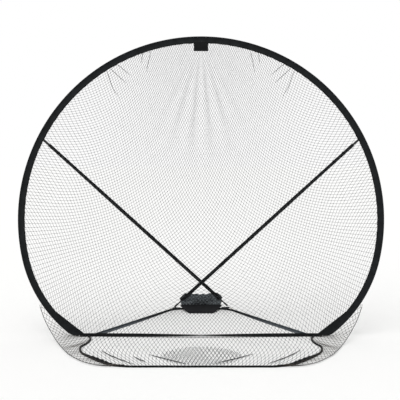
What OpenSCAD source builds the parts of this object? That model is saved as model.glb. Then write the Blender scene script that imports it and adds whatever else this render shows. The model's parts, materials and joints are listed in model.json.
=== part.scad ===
// Sprung chipping net: a wire hoop that stands on a folded ground loop, held
// open by two crossed braces, with a net bag, a floor net and side pouches.
// X runs to the right, Y to the rear, Z up. The ball comes in towards +Y.

/* [Hoop] */
// Overall width of the hoop, over its sleeve
hoop_w = 2134; // [2000:1:2260]
// Backward lean of the hoop, degrees
lean = 6; // [2:0.5:10]
// Angle below the hoop's centre at which its lower arcs begin
lower_start = 12.5; // [8:0.5:18]
// Radius of the lower arcs, at the wire
lower_r = 758; // [700:1:820]
// Angle to the ground at which a lower arc turns into its toe
toe_angle = 39; // [34:1:44]
// Radius of the toe, at the wire
toe_r = 100; // [80:1:130]

/* [Ground loop] */
// Length of level hoop wire between its toe and the corner joint
toe_run = 4.6; // [3:0.1:12]
// Angle between the ground legs and the mouth
side_angle = 56; // [50:0.5:60]
// Radius of the bend at each ground corner
bend_r = 40; // [34:1:44]
// Radius of the shoulder between a leg and the rear bow
shoulder_r = 120; // [90:1:150]
// Radius of the rear bow
bow_r = 480; // [420:1:560]
// Half of the angle that the rear bow spans
bow_half = 20; // [17:1:22]

/* [Spring wire and sleeves] */
// Diameter of the spring wire
wire_d = 6; // [5:0.1:6.2]
// Wall of the bead that holds the wire
bead_wall = 1.2; // [0.8:0.1:1.4]
// Clearance between the wire and its bead
wire_gap = 0.3; // [0.1:0.05:0.5]
// Width of the hoop's flat hem, from the wire inwards
hem_w = 36; // [30:1:42]
// Thickness of the hem
hem_t = 2.4; // [1.6:0.1:3]
// Width of the ground loop's flat hem
ground_hem_w = 30; // [22:1:34]
// Height at which each lower hem starts to widen
gusset_h = 139; // [120:1:160]

/* [Corner joints] */
// Outside diameter of the crimped wire ferrule
ferrule_d = 10; // [9:0.1:10.5]
// Length of the ferrule
ferrule_l = 36; // [30:1:40]
// Running clearance of the hoop wire in the ferrule
turn_gap = 0.05; // [0.03:0.01:0.09]
// Wall of the fabric boot round the ferrule
boot_wall = 0.8; // [0.6:0.1:1.2]
// Clearance between sewn or nested fabric pieces
sewn_gap = 0.3; // [0.25:0.05:0.5]

/* [Mouth strap] */
// Width of the strap's webbing
strap_w = 20; // [16:1:22]
// Thickness of the webbing
strap_t = 1.6; // [1.2:0.1:2]
// Half length of the stretch that lies flat
strap_flat = 110; // [60:5:160]
// Length over which the strap turns on edge
strap_turn = 150; // [100:5:200]

/* [Apron] */
// Distance from the mouth to the front hem
front_reach = 587; // [540:1:640]
// Half length of the straight front hem
front_half = 371; // [340:1:400]
// Diameter of the rolled hem
roll_d = 11; // [9:0.5:13]
// Flat cut under the rolled hem
roll_flat = 0.8; // [0.5:0.1:1.2]

/* [Braces] */
// Distance of a brace pivot in from the hoop's wire
pivot_inset = 35.5; // [33:0.5:41]
// Height of the brace pivots above the hinge line, along the hoop
pivot_h = 1140; // [1110:1:1170]
// Distance of the pivots behind the hoop
pivot_back = 10; // [9:0.5:12]
// Distance of a brace tip from the middle
tip_x = 178; // [170:1:184]
// Distance of the tips behind the rear bow
tip_back = 20; // [14:1:26]
// Height of the middle of the tips
tip_z = 12.6; // [12:0.1:14]
// Outside diameter of the rod sections
rod_d = 9; // [8:0.1:9.4]
// Bore of the rod sections
rod_bore = 5.6; // [5:0.1:6]
// Length of the ferrules that join the rod sections
joint_l = 80; // [60:1:100]
// Diameter of the shock cord
cord_d = 2.6; // [2:0.1:3]
// Width of the brace sleeve
brace_sleeve_w = 20; // [17:1:24]
// Wall of the brace sleeve
brace_sleeve_wall = 0.8; // [0.6:0.1:0.9]
// Bare rod left below the sleeve
bare_l = 120; // [90:5:160]
// Diameter of the pivot pins
pin_d = 6; // [5:0.1:6.5]

/* [Label] */
// Width of the blank label
label_w = 84; // [60:1:110]
// Height of the label below the hem
label_h = 45; // [30:1:60]
// Thickness of the label
label_t = 1.2; // [0.8:0.1:2]

/* [Rear pocket] */
// Half width of the pocket at its crest
pocket_half = 138; // [126:1:146]
// Half width of the pocket's front edge
pocket_front_half = 81; // [60:1:100]
// Half width of the rear panel at its top
pocket_top_half = 54; // [44:1:58]
// Distance of the crest behind the rear bow
crest_back = 12; // [11:0.5:14]
// Height of the crest
crest_h = 24; // [20:0.5:28]
// Depth of the floor panel in front of the crest
pocket_depth = 146; // [120:1:160]
// Height of the rear panel's top
panel_top_h = 109; // [95:1:114]
// Distance that the rear panel leans forward, crest to top
panel_rake = 34; // [33:0.5:36]
// Thickness of the pocket's fabric
pocket_t = 2.4; // [1.6:0.1:3]
// Distance from the middle to the points of the tip tabs
tab_reach = 196; // [192:1:206]
// Width of a tip tab
tab_w = 34; // [30:1:40]

/* [Nets] */
// Thickness of the netting
net_t = 1.6; // [1.2:0.1:2.4]
// Share of each mesh that is open, along its side
net_open = 0.8; // [0.6:0.05:0.85]
// How far the bag keeps its loose shape: 0 is fully taut
bag_slack = 0.4; // [0:0.05:0.5]
// How far the lower part of the bag is drawn forward
bag_draw = 90; // [70:5:110]
// Meshes of the bag from a ground corner to the pocket
bag_side = 8; // [6:1:9]
// Meshes of the bag across the pocket
bag_middle = 4; // [2:2:4]
// Meshes of the bag from the hoop to the ground
bag_down = 8; // [6:1:10]
// Meshes across the floor net
floor_across = 8; // [6:2:10]
// Meshes of the floor net from front to rear
floor_deep = 9; // [8:1:12]
// Meshes along each side pouch
pouch_long = 6; // [5:1:10]
// Meshes across each side pouch
pouch_across = 2; // [2:1:3]

/* [Hidden] */
$fn = 48;
arc_fn = 240;
wire_fn = 32;
tiny = 0.01;
butt_gap = 0.05;
lap_l = 4;
lap_in = 0.1;

// Colours
fabric_black = [0.15, 0.16, 0.17];
webbing_black = [0.08, 0.08, 0.09];
twine_grey = [0.35, 0.36, 0.36];
spring_steel = [0.55, 0.56, 0.58];
fibreglass = [0.12, 0.12, 0.12];
pocket_slate = [0.17, 0.18, 0.19];
cord_white = [0.85, 0.85, 0.82];

// Wire, bead and boot
channel_r = wire_d / 2 + wire_gap;
bead_r = channel_r + bead_wall;
boot_r = ferrule_d / 2 + sewn_gap + boot_wall;
axle_z = boot_r;

// Hoop, in its own plane, measured from the hinge line between the corners
hoop_r = hoop_w / 2 - bead_r;
hoop_cy = hoop_r * sin(lower_start) + lower_r * (cos(toe_angle) - sin(lower_start))
    + toe_r * (1 - cos(toe_angle));
lower_c = [(hoop_r - lower_r) * cos(lower_start),
    hoop_cy - (hoop_r - lower_r) * sin(lower_start)];
toe_c = lower_c + (lower_r - toe_r) * [sin(toe_angle), -cos(toe_angle)];
hem_in_r = hoop_r - hem_w;
lower_in_r = lower_r - hem_w;

// Corner joints, inwards from the toes: the ground loop takes its width from them
level_end = toe_c[0] - toe_run;
boot_end = level_end - 1.5;
ferrule_x1 = boot_end - 1;
ferrule_x0 = ferrule_x1 - ferrule_l;
bend_x = ferrule_x0 - 4;
leg_tan = bend_r * tan(side_angle / 2);
corner_x = bend_x - leg_tan;
wire_split = ferrule_x0 + ferrule_l / 2;
wire_end_gap = 2;
gusset_tip = [bend_x + 8, boot_r + 0.4];
gusset_turn = asin((lower_c[1] - gusset_h) / lower_in_r);
gusset_top = lower_c + lower_in_r * [cos(gusset_turn), -sin(gusset_turn)];

// Ground loop
bow_x = bow_r * sin(bow_half);
shoulder_x = bow_x + shoulder_r * (sin(side_angle) - sin(bow_half));
shoulder_y = (corner_x - shoulder_x) * tan(side_angle);
shoulder_c = [shoulder_x - shoulder_r * sin(side_angle),
    shoulder_y - shoulder_r * cos(side_angle)];
bow_cy = shoulder_c[1] + (shoulder_r - bow_r) * cos(bow_half);
bow_y = bow_cy + bow_r;
leg_l = norm([corner_x - shoulder_x, shoulder_y]) - leg_tan;

// Frame: the whole part's box is centred on the Y axis
tip_y = bow_y + tip_back;
front_edge = front_reach + roll_d / 2 * cos(22.5);

// Nets
net_gap = 0.5;
floor_net_z = net_t / 2;
strap_z = net_t + sewn_gap;
strap_y = -boot_r - sewn_gap - strap_t / 2;

// Braces
hinge_pin_gap = 0.05;
fit_gap = 0.06;
plane_up = [0, sin(lean), cos(lean)];
plane_back = [0, cos(lean), -sin(lean)];
pivot_x = sqrt(pow(hoop_r, 2) - pow(pivot_h - hoop_cy, 2)) - pivot_inset;
pivot_mid = [0, 0, axle_z] + pivot_h * plane_up + pivot_back * plane_back;
brace_sleeve_t = rod_d + 2 * fit_gap + 2 * brace_sleeve_wall;
brace_drop = [0, tip_y, tip_z] - pivot_mid;
brace_normal = [0, -brace_drop[2], brace_drop[1]] / norm([brace_drop[1], brace_drop[2]]);
cross_share = pivot_x / (pivot_x + tip_x);
tip_shift = (brace_sleeve_t / 2 + sewn_gap) / cross_share;
rear_reach = tip_y + tip_shift * brace_normal[1] + tab_w / 2;
frame_y = (front_edge - rear_reach) / 2;

function mix(a, b, t) = a + (b - a) * t;
function unit(v) = v / norm(v);
function arc(c, r, a0, a1, n) = [for (k = [0:n]) c + r * [cos(mix(a0, a1, k / n)), sin(mix(a0, a1, k / n))]];
function mirrored(p) = [for (k = [len(p) - 1:-1:0]) [-p[k][0], p[k][1]]];
function lifted(p, z) = [for (q = p) [q[0], q[1], z]];
// Points of the hoop's plane, set up in the part's frame
function raised(p) = [for (q = p) [q[0], 0, axle_z] + q[1] * plane_up];

// Running length of a path at each of its points
function lengths(p) = [for (i = 0, c = 0; i < len(p);
    c = c + (i + 1 < len(p) ? norm(p[i + 1] - p[i]) : 0), i = i + 1) c];
function point_at(p, c, d, i = 0) = i >= len(p) - 2 || c[i + 1] >= d
    ? mix(p[i], p[i + 1], (d - c[i]) / (c[i + 1] - c[i]))
    : point_at(p, c, d, i + 1);
// n + 1 points along a path, from share s0 to share s1 of its length
function spread(p, s0, s1, n) = let (c = lengths(p), l = c[len(c) - 1])
    [for (k = [0:n]) point_at(p, c, l * mix(s0, s1, k / n))];

// A sheet between two edges, n meshes across
function ruled(a, b, n) = [for (i = [0:len(a) - 1]) [for (j = [0:n]) mix(a[i], b[i], j / n)]];
// Each inner knot moves to the middle of its four neighbours
function settled(g, times) = times == 0 ? g : settled([for (i = [0:len(g) - 1])
    [for (j = [0:len(g[0]) - 1])
        i == 0 || j == 0 || i == len(g) - 1 || j == len(g[0]) - 1 ? g[i][j]
        : (g[i - 1][j] + g[i + 1][j] + g[i][j - 1] + g[i][j + 1]) / 4]], times - 1);
function blended(g, h, t) = [for (i = [0:len(g) - 1]) [for (j = [0:len(g[0]) - 1]) mix(g[i][j], h[i][j], t)]];

// Normal of a sheet at a knot
function normal_at(g, i, j) = let (
    m = len(g) - 1, n = len(g[0]) - 1,
    u = g[min(i + 1, m)][j] - g[max(i - 1, 0)][j],
    v = g[i][min(j + 1, n)] - g[i][max(j - 1, 0)])
    unit(cross(u, v));

// A sheet of netting as one closed solid with a square gap in every mesh
module netting(g) {
    m = len(g) - 1;
    n = len(g[0]) - 1;
    half = net_t / 2;
    knots = (m + 1) * (n + 1);
    off = [for (i = [0:m]) [for (j = [0:n]) half * normal_at(g, i, j)]];
    top = [for (i = [0:m]) for (j = [0:n]) g[i][j] + off[i][j]];
    low = [for (i = [0:m]) for (j = [0:n]) g[i][j] - off[i][j]];
    corners = [[0, 0], [1, 0], [1, 1], [0, 1]];
    hole = [for (side = [1, -1]) for (i = [0:m - 1]) for (j = [0:n - 1]) let (
        c = [for (k = corners) g[i + k[0]][j + k[1]] + side * off[i + k[0]][j + k[1]]],
        mid = (c[0] + c[1] + c[2] + c[3]) / 4)
        each [for (p = c) mix(mid, p, net_open)]];
    holes0 = 2 * knots;
    holes1 = holes0 + 4 * m * n;
    function k(i, j) = i * (n + 1) + j;
    function h(i, j, q) = 4 * (i * n + j) + q;
    faces = [for (i = [0:m - 1]) for (j = [0:n - 1]) for (q = [0:3]) let (
        r = (q + 1) % 4,
        a = k(i + corners[q][0], j + corners[q][1]),
        b = k(i + corners[r][0], j + corners[r][1]),
        ha = h(i, j, q),
        hb = h(i, j, r))
        each [
            [a, holes0 + hb, b], [a, holes0 + ha, holes0 + hb],
            [knots + a, knots + b, holes1 + hb], [knots + a, holes1 + hb, holes1 + ha],
            [holes0 + ha, holes1 + hb, holes0 + hb], [holes0 + ha, holes1 + ha, holes1 + hb]
        ]];
    rim = concat(
        [for (i = [0:m - 1]) [k(i, 0), k(i + 1, 0)]],
        [for (j = [0:n - 1]) [k(m, j), k(m, j + 1)]],
        [for (i = [m:-1:1]) [k(i, n), k(i - 1, n)]],
        [for (j = [n:-1:1]) [k(0, j), k(0, j - 1)]]);
    walls = [for (e = rim) each [
        [e[0], e[1], knots + e[1]], [e[0], knots + e[1], knots + e[0]]]];
    polyhedron(concat(top, low, hole), concat(faces, walls), convexity = 10);
}

// A closed tube of any outline along a path. Opposite faces share a diagonal, so that a
// twisted band keeps its thickness
module swept(rings) {
    n = len(rings[0]);
    m = len(rings);
    points = [for (r = rings) each r];
    sides = [for (i = [0:m - 2]) for (j = [0:n - 1]) let (
        a = i * n + j, b = i * n + (j + 1) % n)
        each j < n / 2 ? [[a, b, b + n], [a, b + n, a + n]] : [[a, b, a + n], [b, b + n, a + n]]];
    cap0 = [for (j = [1:n - 2]) [0, j + 1, j]];
    cap1 = [for (j = [1:n - 2]) [(m - 1) * n, (m - 1) * n + j, (m - 1) * n + j + 1]];
    polyhedron(points, concat(sides, cap0, cap1), convexity = 6);
}

module in_frame() {
    translate([0, frame_y, 0])
        children();
}

// The hoop's plane: x across, y up along the hoop, z towards the front
module in_hoop() {
    in_frame()
        translate([0, 0, axle_z])
            rotate([90 - lean, 0, 0])
                children();
}

module on_side(s) {
    scale_x = s == "left" ? 1 : 0;
    mirror([scale_x, 0, 0])
        children();
}

// A bent length from angle a0 to a1 round c, with the outline given for it
module bend(c, r, a0, a1) {
    cut = butt_gap / 2 / r * 180 / PI;
    translate([c[0], c[1], 0])
        rotate(a0 + cut)
            rotate_extrude(angle = a1 - a0 - 2 * cut, $fn = arc_fn)
                translate([r, 0])
                    children();
}

// A short lap that joins two lengths where they meet, at angle a round c
module lap(c, r, a) {
    translate([c[0] + r * cos(a), c[1] + r * sin(a), 0])
        rotate([90, 0, a])
            linear_extrude(lap_l, center = true)
                children();
}

module main_arc() {
    bend([0, hoop_cy], hoop_r, -lower_start, 180 + lower_start)
        children();
}

module lower_arc() {
    bend(lower_c, lower_r, toe_angle - 90, -lower_start)
        children();
}

module toe_arc() {
    bend(toe_c, toe_r, -90, toe_angle - 90)
        children();
}

module toe_laps() {
    lap(lower_c, lower_r, toe_angle - 90)
        children();
    lap(toe_c, toe_r, -90)
        children();
}

module level_run(to) {
    translate([toe_c[0] - butt_gap / 2, 0, 0])
        rotate([90, 0, -90])
            linear_extrude(toe_c[0] - butt_gap / 2 - to)
                children();
}

module wire_disc() {
    circle(wire_d / 2, $fn = wire_fn);
}

module wire_core() {
    circle(wire_d / 2 - lap_in, $fn = wire_fn);
}

module hoop_spring() {
    color(spring_steel)
        in_hoop() {
            main_arc()
                wire_disc();
            for (s = ["left", "right"])
                on_side(s) {
                    lap([0, hoop_cy], hoop_r, -lower_start)
                        wire_core();
                    lower_arc()
                        wire_disc();
                    toe_arc()
                        wire_disc();
                    toe_laps()
                        wire_core();
                    level_run(wire_split + wire_end_gap / 2)
                        wire_disc();
                }
        }
}

module bead_ring(inset = 0) {
    difference() {
        circle(bead_r - inset, $fn = wire_fn);
        circle(channel_r + inset, $fn = wire_fn);
    }
}

module hem_outline() {
    difference() {
        union() {
            circle(bead_r, $fn = wire_fn);
            translate([-hem_w, -hem_t / 2])
                square([hem_w, hem_t]);
        }
        circle(channel_r, $fn = wire_fn);
    }
}

module hoop_sleeve() {
    color(fabric_black)
        in_hoop()
            main_arc()
                hem_outline();
}

// Lower sleeve: the wire's bead, its hem, and the gusset that runs to a point
module lower_sleeve(s) {
    edge_r = channel_r + 0.4;
    outer = concat(
        arc(lower_c, lower_r - edge_r, -lower_start, toe_angle - 90, 16),
        arc(toe_c, toe_r - edge_r, toe_angle - 90, -90, 6),
        [[level_end, edge_r], [level_end, gusset_tip[1]]]);
    inner = concat([gusset_tip],
        arc(lower_c, lower_in_r, -gusset_turn, -lower_start, 12));
    color(fabric_black)
        in_hoop()
            on_side(s) {
                lower_arc()
                    bead_ring();
                toe_arc()
                    bead_ring();
                toe_laps()
                    bead_ring(lap_in);
                level_run(level_end)
                    bead_ring();
                translate([0, 0, -hem_t / 2])
                    linear_extrude(hem_t)
                        polygon(concat(outer, inner));
            }
}

// The label hangs in front of the hem, sewn along its upper edge
module label() {
    sewn = 12;
    round_r = 3;
    top = hoop_cy + sqrt(pow(hem_in_r, 2) - pow(label_w / 2, 2)) + sewn;
    color(webbing_black)
        in_hoop()
            translate([0, top - label_h - sewn, hem_t / 2 + butt_gap])
                linear_extrude(label_t) {
                    translate([-label_w / 2, round_r])
                        square([label_w, label_h + sewn - round_r]);
                    translate([-label_w / 2 + round_r, 0])
                        square([label_w - 2 * round_r, round_r + tiny]);
                    for (x = [-1, 1])
                        translate([x * (label_w / 2 - round_r), round_r])
                            circle(round_r);
                }
}

// Webbing loop on the rear of the hem, in which a brace pin turns
module brace_anchor(s) {
    loop_l = 20;
    loop_r = pin_d / 2 + 2.4;
    tail = 26;
    start = pivot_x + head_l / 2 + sewn_gap;
    foot = -pivot_back + hem_t / 2 + butt_gap;
    color(webbing_black)
        in_hoop()
            on_side(s)
                translate([start, pivot_h, -pivot_back])
                    rotate([0, 90, 0])
                        difference() {
                            union() {
                                cylinder(r = loop_r, h = loop_l);
                                translate([foot, -loop_r, 0])
                                    cube([-foot, 2 * loop_r, loop_l]);
                                translate([foot, -tail, 0])
                                    cube([strap_t, tail, loop_l]);
                            }
                            translate([0, 0, -1])
                                cylinder(r = pin_d / 2 + hinge_pin_gap, h = loop_l + 2);
                        }
}

// Ground loop: children are outlines with x away from the bag and y up
module bow_arc() {
    bend([0, bow_cy], bow_r, 90 - bow_half, 90 + bow_half)
        children();
}

module shoulder_arc() {
    bend(shoulder_c, shoulder_r, 90 - side_angle, 90 - bow_half)
        children();
}

module leg() {
    translate([shoulder_x, shoulder_y, 0])
        rotate([90, 0, 90 - side_angle])
            translate([0, 0, butt_gap / 2])
                linear_extrude(leg_l - butt_gap)
                    children();
}

module leg_laps() {
    lap(shoulder_c, shoulder_r, 90 - bow_half)
        children();
    lap(shoulder_c, shoulder_r, 90 - side_angle)
        children();
}

module corner_bend() {
    bend([bend_x, bend_r], bend_r, -90 - side_angle, -90)
        children();
}

module corner_laps() {
    lap([bend_x, bend_r], bend_r, -90)
        children();
    lap([bend_x, bend_r], bend_r, -90 - side_angle)
        children();
}

module corner_run(x0, x1, r) {
    translate([x0, 0, axle_z])
        rotate([0, 90, 0])
            cylinder(r = r, h = x1 - x0);
}

module ground_spring() {
    color(spring_steel)
        in_frame()
            translate([0, 0, axle_z]) {
                bow_arc()
                    wire_disc();
                for (s = ["left", "right"])
                    on_side(s) {
                        shoulder_arc()
                            wire_disc();
                        leg()
                            wire_disc();
                        corner_bend()
                            wire_disc();
                        leg_laps()
                            wire_core();
                        corner_laps()
                            wire_core();
                        translate([0, 0, -axle_z])
                            corner_run(bend_x + butt_gap / 2, wire_split - wire_end_gap / 2,
                                wire_d / 2);
                    }
            }
}

module ground_outline() {
    foot = 1.5;
    difference() {
        union() {
            translate([0, axle_z])
                circle(bead_r, $fn = wire_fn);
            translate([-ground_hem_w, 0])
                square([ground_hem_w + foot, hem_t]);
        }
        translate([0, axle_z])
            circle(channel_r, $fn = wire_fn);
    }
}

module ground_sleeve() {
    color(fabric_black)
        in_frame() {
            bow_arc()
                ground_outline();
            for (s = ["left", "right"])
                on_side(s) {
                    shoulder_arc()
                        ground_outline();
                    leg()
                        ground_outline();
                    leg_laps()
                        translate([0, axle_z])
                            bead_ring(lap_in);
                }
        }
}

module ferrule(s) {
    color(spring_steel)
        in_frame()
            on_side(s)
                difference() {
                    corner_run(ferrule_x0, ferrule_x1, ferrule_d / 2);
                    corner_run(ferrule_x0 - 1, ferrule_x1 + 1, wire_d / 2 + turn_gap);
                }
}

module corner_boot(s) {
    color(webbing_black)
        in_frame()
            on_side(s) {
                difference() {
                    corner_run(bend_x + butt_gap / 2, boot_end, boot_r);
                    corner_run(bend_x - 1, boot_end + 1, channel_r);
                    corner_run(ferrule_x0 - sewn_gap, boot_end + 1, ferrule_d / 2 + sewn_gap / 2);
                }
                translate([0, 0, axle_z]) {
                    corner_bend()
                        difference() {
                            circle(boot_r, $fn = wire_fn);
                            circle(channel_r, $fn = wire_fn);
                        }
                    lap([bend_x, bend_r], bend_r, -90)
                        difference() {
                            circle(boot_r - lap_in, $fn = wire_fn);
                            circle(channel_r + lap_in, $fn = wire_fn);
                        }
                }
            }
}

// Strap across the mouth: flat on the floor in the middle, on edge at its ends
function strap_angle(x) = let (t = min(1, max(0, (abs(x) - strap_flat) / strap_turn)))
    90 * t * t * (3 - 2 * t);
function strap_ring(x) = let (
    a = strap_angle(x),
    z = strap_z + abs(sin(a)) * strap_w / 2 + abs(cos(a)) * strap_t / 2,
    y = strap_y - abs(cos(a)) * (strap_w - strap_t) / 2,
    u = [0, cos(a), sin(a)] * strap_w / 2,
    v = [0, -sin(a), cos(a)] * strap_t / 2)
    [for (q = [[-1, -1], [-1, 1], [1, 1], [1, -1]]) [x, y, z] + q[0] * u + q[1] * v];

module mouth_strap() {
    steps = 10;
    half = concat([for (k = [0:steps]) strap_flat + strap_turn * k / steps], [ferrule_x1]);
    xs = concat([for (k = [len(half) - 1:-1:0]) -half[k]], half);
    color(webbing_black)
        in_frame()
            swept([for (x = xs) strap_ring(x)]);
}

// Edge of the apron from the front hem to the right ground corner: shares of the way
// out from the front hem's end to the corner, and of the way forward from the mouth
side_shape = [
    [0, 1], [0.294, 0.957], [0.577, 0.843], [0.864, 0.681], [1, 0.579], [1.066, 0.463],
    [1.063, 0.366], [0.989, 0.273], [0.96, 0.17], [0.982, 0.077]
];
side_end = [corner_x + 10, strap_y - strap_t / 2 - 2.4, 0];
side_route = concat([for (q = side_shape) [mix(front_half, corner_x, q[0]), -front_reach * q[1], 0]],
    [side_end]);
function bent(p, i, t) = let (
    a = p[max(i - 1, 0)], b = p[i], c = p[i + 1], d = p[min(i + 2, len(p) - 1)])
    0.5 * (2 * b + t * (c - a) + t * t * (2 * a - 5 * b + 4 * c - d)
        + t * t * t * (3 * b - a - 3 * c + d));
function eased(p, n) = concat([for (i = [0:len(p) - 2]) for (k = [0:n - 1]) bent(p, i, k / n)],
    [p[len(p) - 1]]);
side_path = eased(side_route, 2);

function roll_ring(p, dir) = let (side = unit([dir[1], -dir[0], 0]), r = roll_d / 2)
    [for (k = [0:7]) let (a = 22.5 + 45 * k)
        p + r * cos(a) * side + [0, 0, max(0, r - roll_flat + r * sin(a))]];

module front_hem() {
    color(webbing_black)
        in_frame()
            swept([for (x = [-front_half, front_half])
                roll_ring([x, -front_reach, 0], [1, 0, 0])]);
}

module side_hem(s) {
    last = len(side_path) - 1;
    color(webbing_black)
        in_frame()
            on_side(s)
                swept([for (i = [0:last]) let (
                    dir = i == 0 ? [1, 0, 0]
                        : i == last ? side_path[i] - side_path[i - 1]
                        : side_path[i + 1] - side_path[i - 1])
                    roll_ring(side_path[i] + (i == 0 ? [net_gap, 0, 0] : [0, 0, 0]), dir)]);
}

// Bag: from the hoop's inner edge to the ground loop, over the pocket's crest
hoop_edge = concat(
    arc(lower_c, lower_in_r - net_gap, -gusset_turn, -lower_start, 8),
    arc([0, hoop_cy], hem_in_r - net_gap, -lower_start, 90, 30));
hoop_edge_all = concat([gusset_tip + [-6, 6]], hoop_edge,
    [for (k = [len(hoop_edge) - 2:-1:0]) [-hoop_edge[k][0], hoop_edge[k][1]]],
    [[-gusset_tip[0] + 6, gusset_tip[1] + 6]]);
bag_foot_in = ground_hem_w * 0.6;
bag_foot_z = hem_t + sewn_gap + net_t / 2;
crest_y = bow_y + crest_back;
crest_net_z = crest_h + sewn_gap + net_t;
leg_dir = [-cos(side_angle), sin(side_angle)];
leg_foot = [corner_x, 0] + 30 * leg_dir - bag_foot_in * [sin(side_angle), cos(side_angle)];
bag_corner = [pocket_half + 3, crest_y - 14, crest_net_z];
ground_side = concat(
    [[leg_foot[0], leg_foot[1], bag_foot_z]],
    lifted(arc(shoulder_c, shoulder_r - bag_foot_in, 90 - side_angle, 90 - bow_half - 6, 5),
        bag_foot_z),
    [bag_corner]);
bag_from = 0.035;
foot_side = spread(ground_side, bag_from, 1, bag_side);
foot_middle = [for (k = [1:bag_middle - 1])
    [bag_corner[0] * (1 - 2 * k / bag_middle), crest_y - 6, crest_net_z]];
foot_edge = concat(foot_side, foot_middle,
    [for (k = [bag_side:-1:0]) [-foot_side[k][0], foot_side[k][1], foot_side[k][2]]]);
bag_round = 2 * bag_side + bag_middle;
bag_loose = ruled(spread(raised(hoop_edge_all), bag_from, 1 - bag_from, bag_round),
    foot_edge, bag_down);
// The lower middle of the bag is drawn forward, clear of the braces
function drawn(g) = let (m = len(g) - 1, n = len(g[0]) - 1)
    [for (i = [0:m]) [for (j = [0:n]) g[i][j]
        - [0, bag_draw * sin(180 * pow(j / n, 2.2)) * pow(sin(180 * i / m), 2), 0]]];
bag_sheet = drawn(blended(settled(bag_loose, 80), bag_loose, bag_slack));

module bag_net() {
    color(twine_grey)
        in_frame()
            netting(bag_sheet);
}

// Floor net: inside the front hem, the side hems and the ground loop's hem
hem_clear = roll_d / 2 * cos(22.5);
function leg_inside(y) = corner_x - y / tan(side_angle) - (ground_hem_w + net_gap) / sin(side_angle);
function bow_inside(y) = let (r = bow_r - ground_hem_w - net_gap, h = y - bow_cy)
    h >= r ? 0 : sqrt(r * r - h * h);
side_table = [for (i = [len(side_path) - 1:-1:0]) [-side_path[i][1], side_path[i][0]]];
function floor_half(y) = y < -60 ? lookup(-y, side_table) - hem_clear - 3
    : y < 0 ? mix(lookup(60, side_table) - hem_clear - 3, leg_inside(0), 1 + y / 60)
    : y < bow_cy ? leg_inside(y)
    : min(leg_inside(y), bow_inside(y));
floor_front = -front_reach + hem_clear;
floor_rear = bow_y - ground_hem_w - 4;
floor_ys = [for (k = [0:floor_deep]) mix(floor_front, floor_rear, k / floor_deep)];
floor_sheet = [for (x = [0:floor_across]) [for (y = floor_ys)
    [(2 * x / floor_across - 1) * (y == floor_front ? front_half : floor_half(y)), y, floor_net_z]]];

module floor_net() {
    color(twine_grey)
        in_frame()
            netting(floor_sheet);
}

// Side pouch: from the hoop's lower arc and the side hem out to the floor
pouch_turn = 33;
pouch_in_r = lower_r + bead_r + 2;
pouch_z = roll_d - roll_flat + sewn_gap + 1.5 * net_t;
pouch_inner = concat(
    [for (q = arc(lower_c, pouch_in_r, -pouch_turn, toe_angle - 92, 5))
        [q[0], q[1] * sin(lean) - 6, axle_z + q[1] * cos(lean)]],
    [[toe_c[0], -12, 12]],
    [for (i = [len(side_path) - 3:-2:0]) side_path[i] + [0, 0, pouch_z]]);
// Its outer edge: shares of the lower radius out from the corner and up, and of the way forward
pouch_shape = [
    [0.397, -0.014, 0.224], [0.384, 0.034, 0.124], [0.339, 0.085, 0.037], [0.252, 0.157, 0],
    [0.2, 0.324, 0], [0.139, 0.494, 0], [0.05, 0.687, 0], [-0.066, 0.872, 0],
    [-0.165, 0.964, 0], [-0.247, 0.99, 0]
];
pouch_low = 6;
pouch_outer = [for (q = pouch_shape)
    [corner_x + lower_r * q[0], -front_reach * q[1], pouch_low + lower_r * q[2]]];
pouch_from = 0.04;
pouch_to = 0.96;
pouch_sheet = ruled(spread(pouch_inner, pouch_from, pouch_to, pouch_long),
    spread(pouch_outer, pouch_from, pouch_to, pouch_long), pouch_across);

module pouch_net(s) {
    color(twine_grey)
        in_frame()
            on_side(s)
                netting(pouch_sheet);
}

// Rear pocket: a tent of fabric over the bow, and a panel up the rear of the bag
module pocket_floor() {
    front_y = crest_y - pocket_depth;
    front_z = net_t + sewn_gap;
    rear_y = crest_y + 5;
    color(pocket_slate)
        in_frame()
            intersection() {
                translate([-pocket_half, 0, 0])
                    rotate([90, 0, 90])
                        linear_extrude(2 * pocket_half)
                            polygon([
                                [front_y, front_z], [front_y + 6, front_z],
                                [crest_y - pocket_t, crest_h - pocket_t - 1],
                                [rear_y - pocket_t, 0], [rear_y, 0],
                                [crest_y, crest_h], [crest_y - 4, crest_h],
                                [front_y, front_z + pocket_t]]);
                linear_extrude(2 * crest_h)
                    polygon([
                        [-pocket_front_half, front_y - 1], [pocket_front_half, front_y - 1],
                        [pocket_half, crest_y - 24], [pocket_half, rear_y + 1],
                        [-pocket_half, rear_y + 1], [-pocket_half, crest_y - 24]]);
            }
}

panel_foot = [crest_y - 2, crest_h];
panel_top = [crest_y - panel_rake, panel_top_h];

module pocket_panel() {
    rise = panel_top - panel_foot;
    lean_back = atan2(rise[1], rise[0]);
    long = norm(rise);
    color(pocket_slate)
        in_frame()
            translate([0, panel_foot[0], panel_foot[1] + 2])
                rotate([lean_back, 0, 0])
                    translate([0, 0, -pocket_t / 2])
                        linear_extrude(pocket_t)
                            polygon([[-pocket_half, 0], [pocket_half, 0],
                                [pocket_top_half + 10, long - 12], [pocket_top_half, long - 4],
                                [-pocket_top_half, long - 4], [-pocket_top_half - 10, long - 12]]);
}

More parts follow.
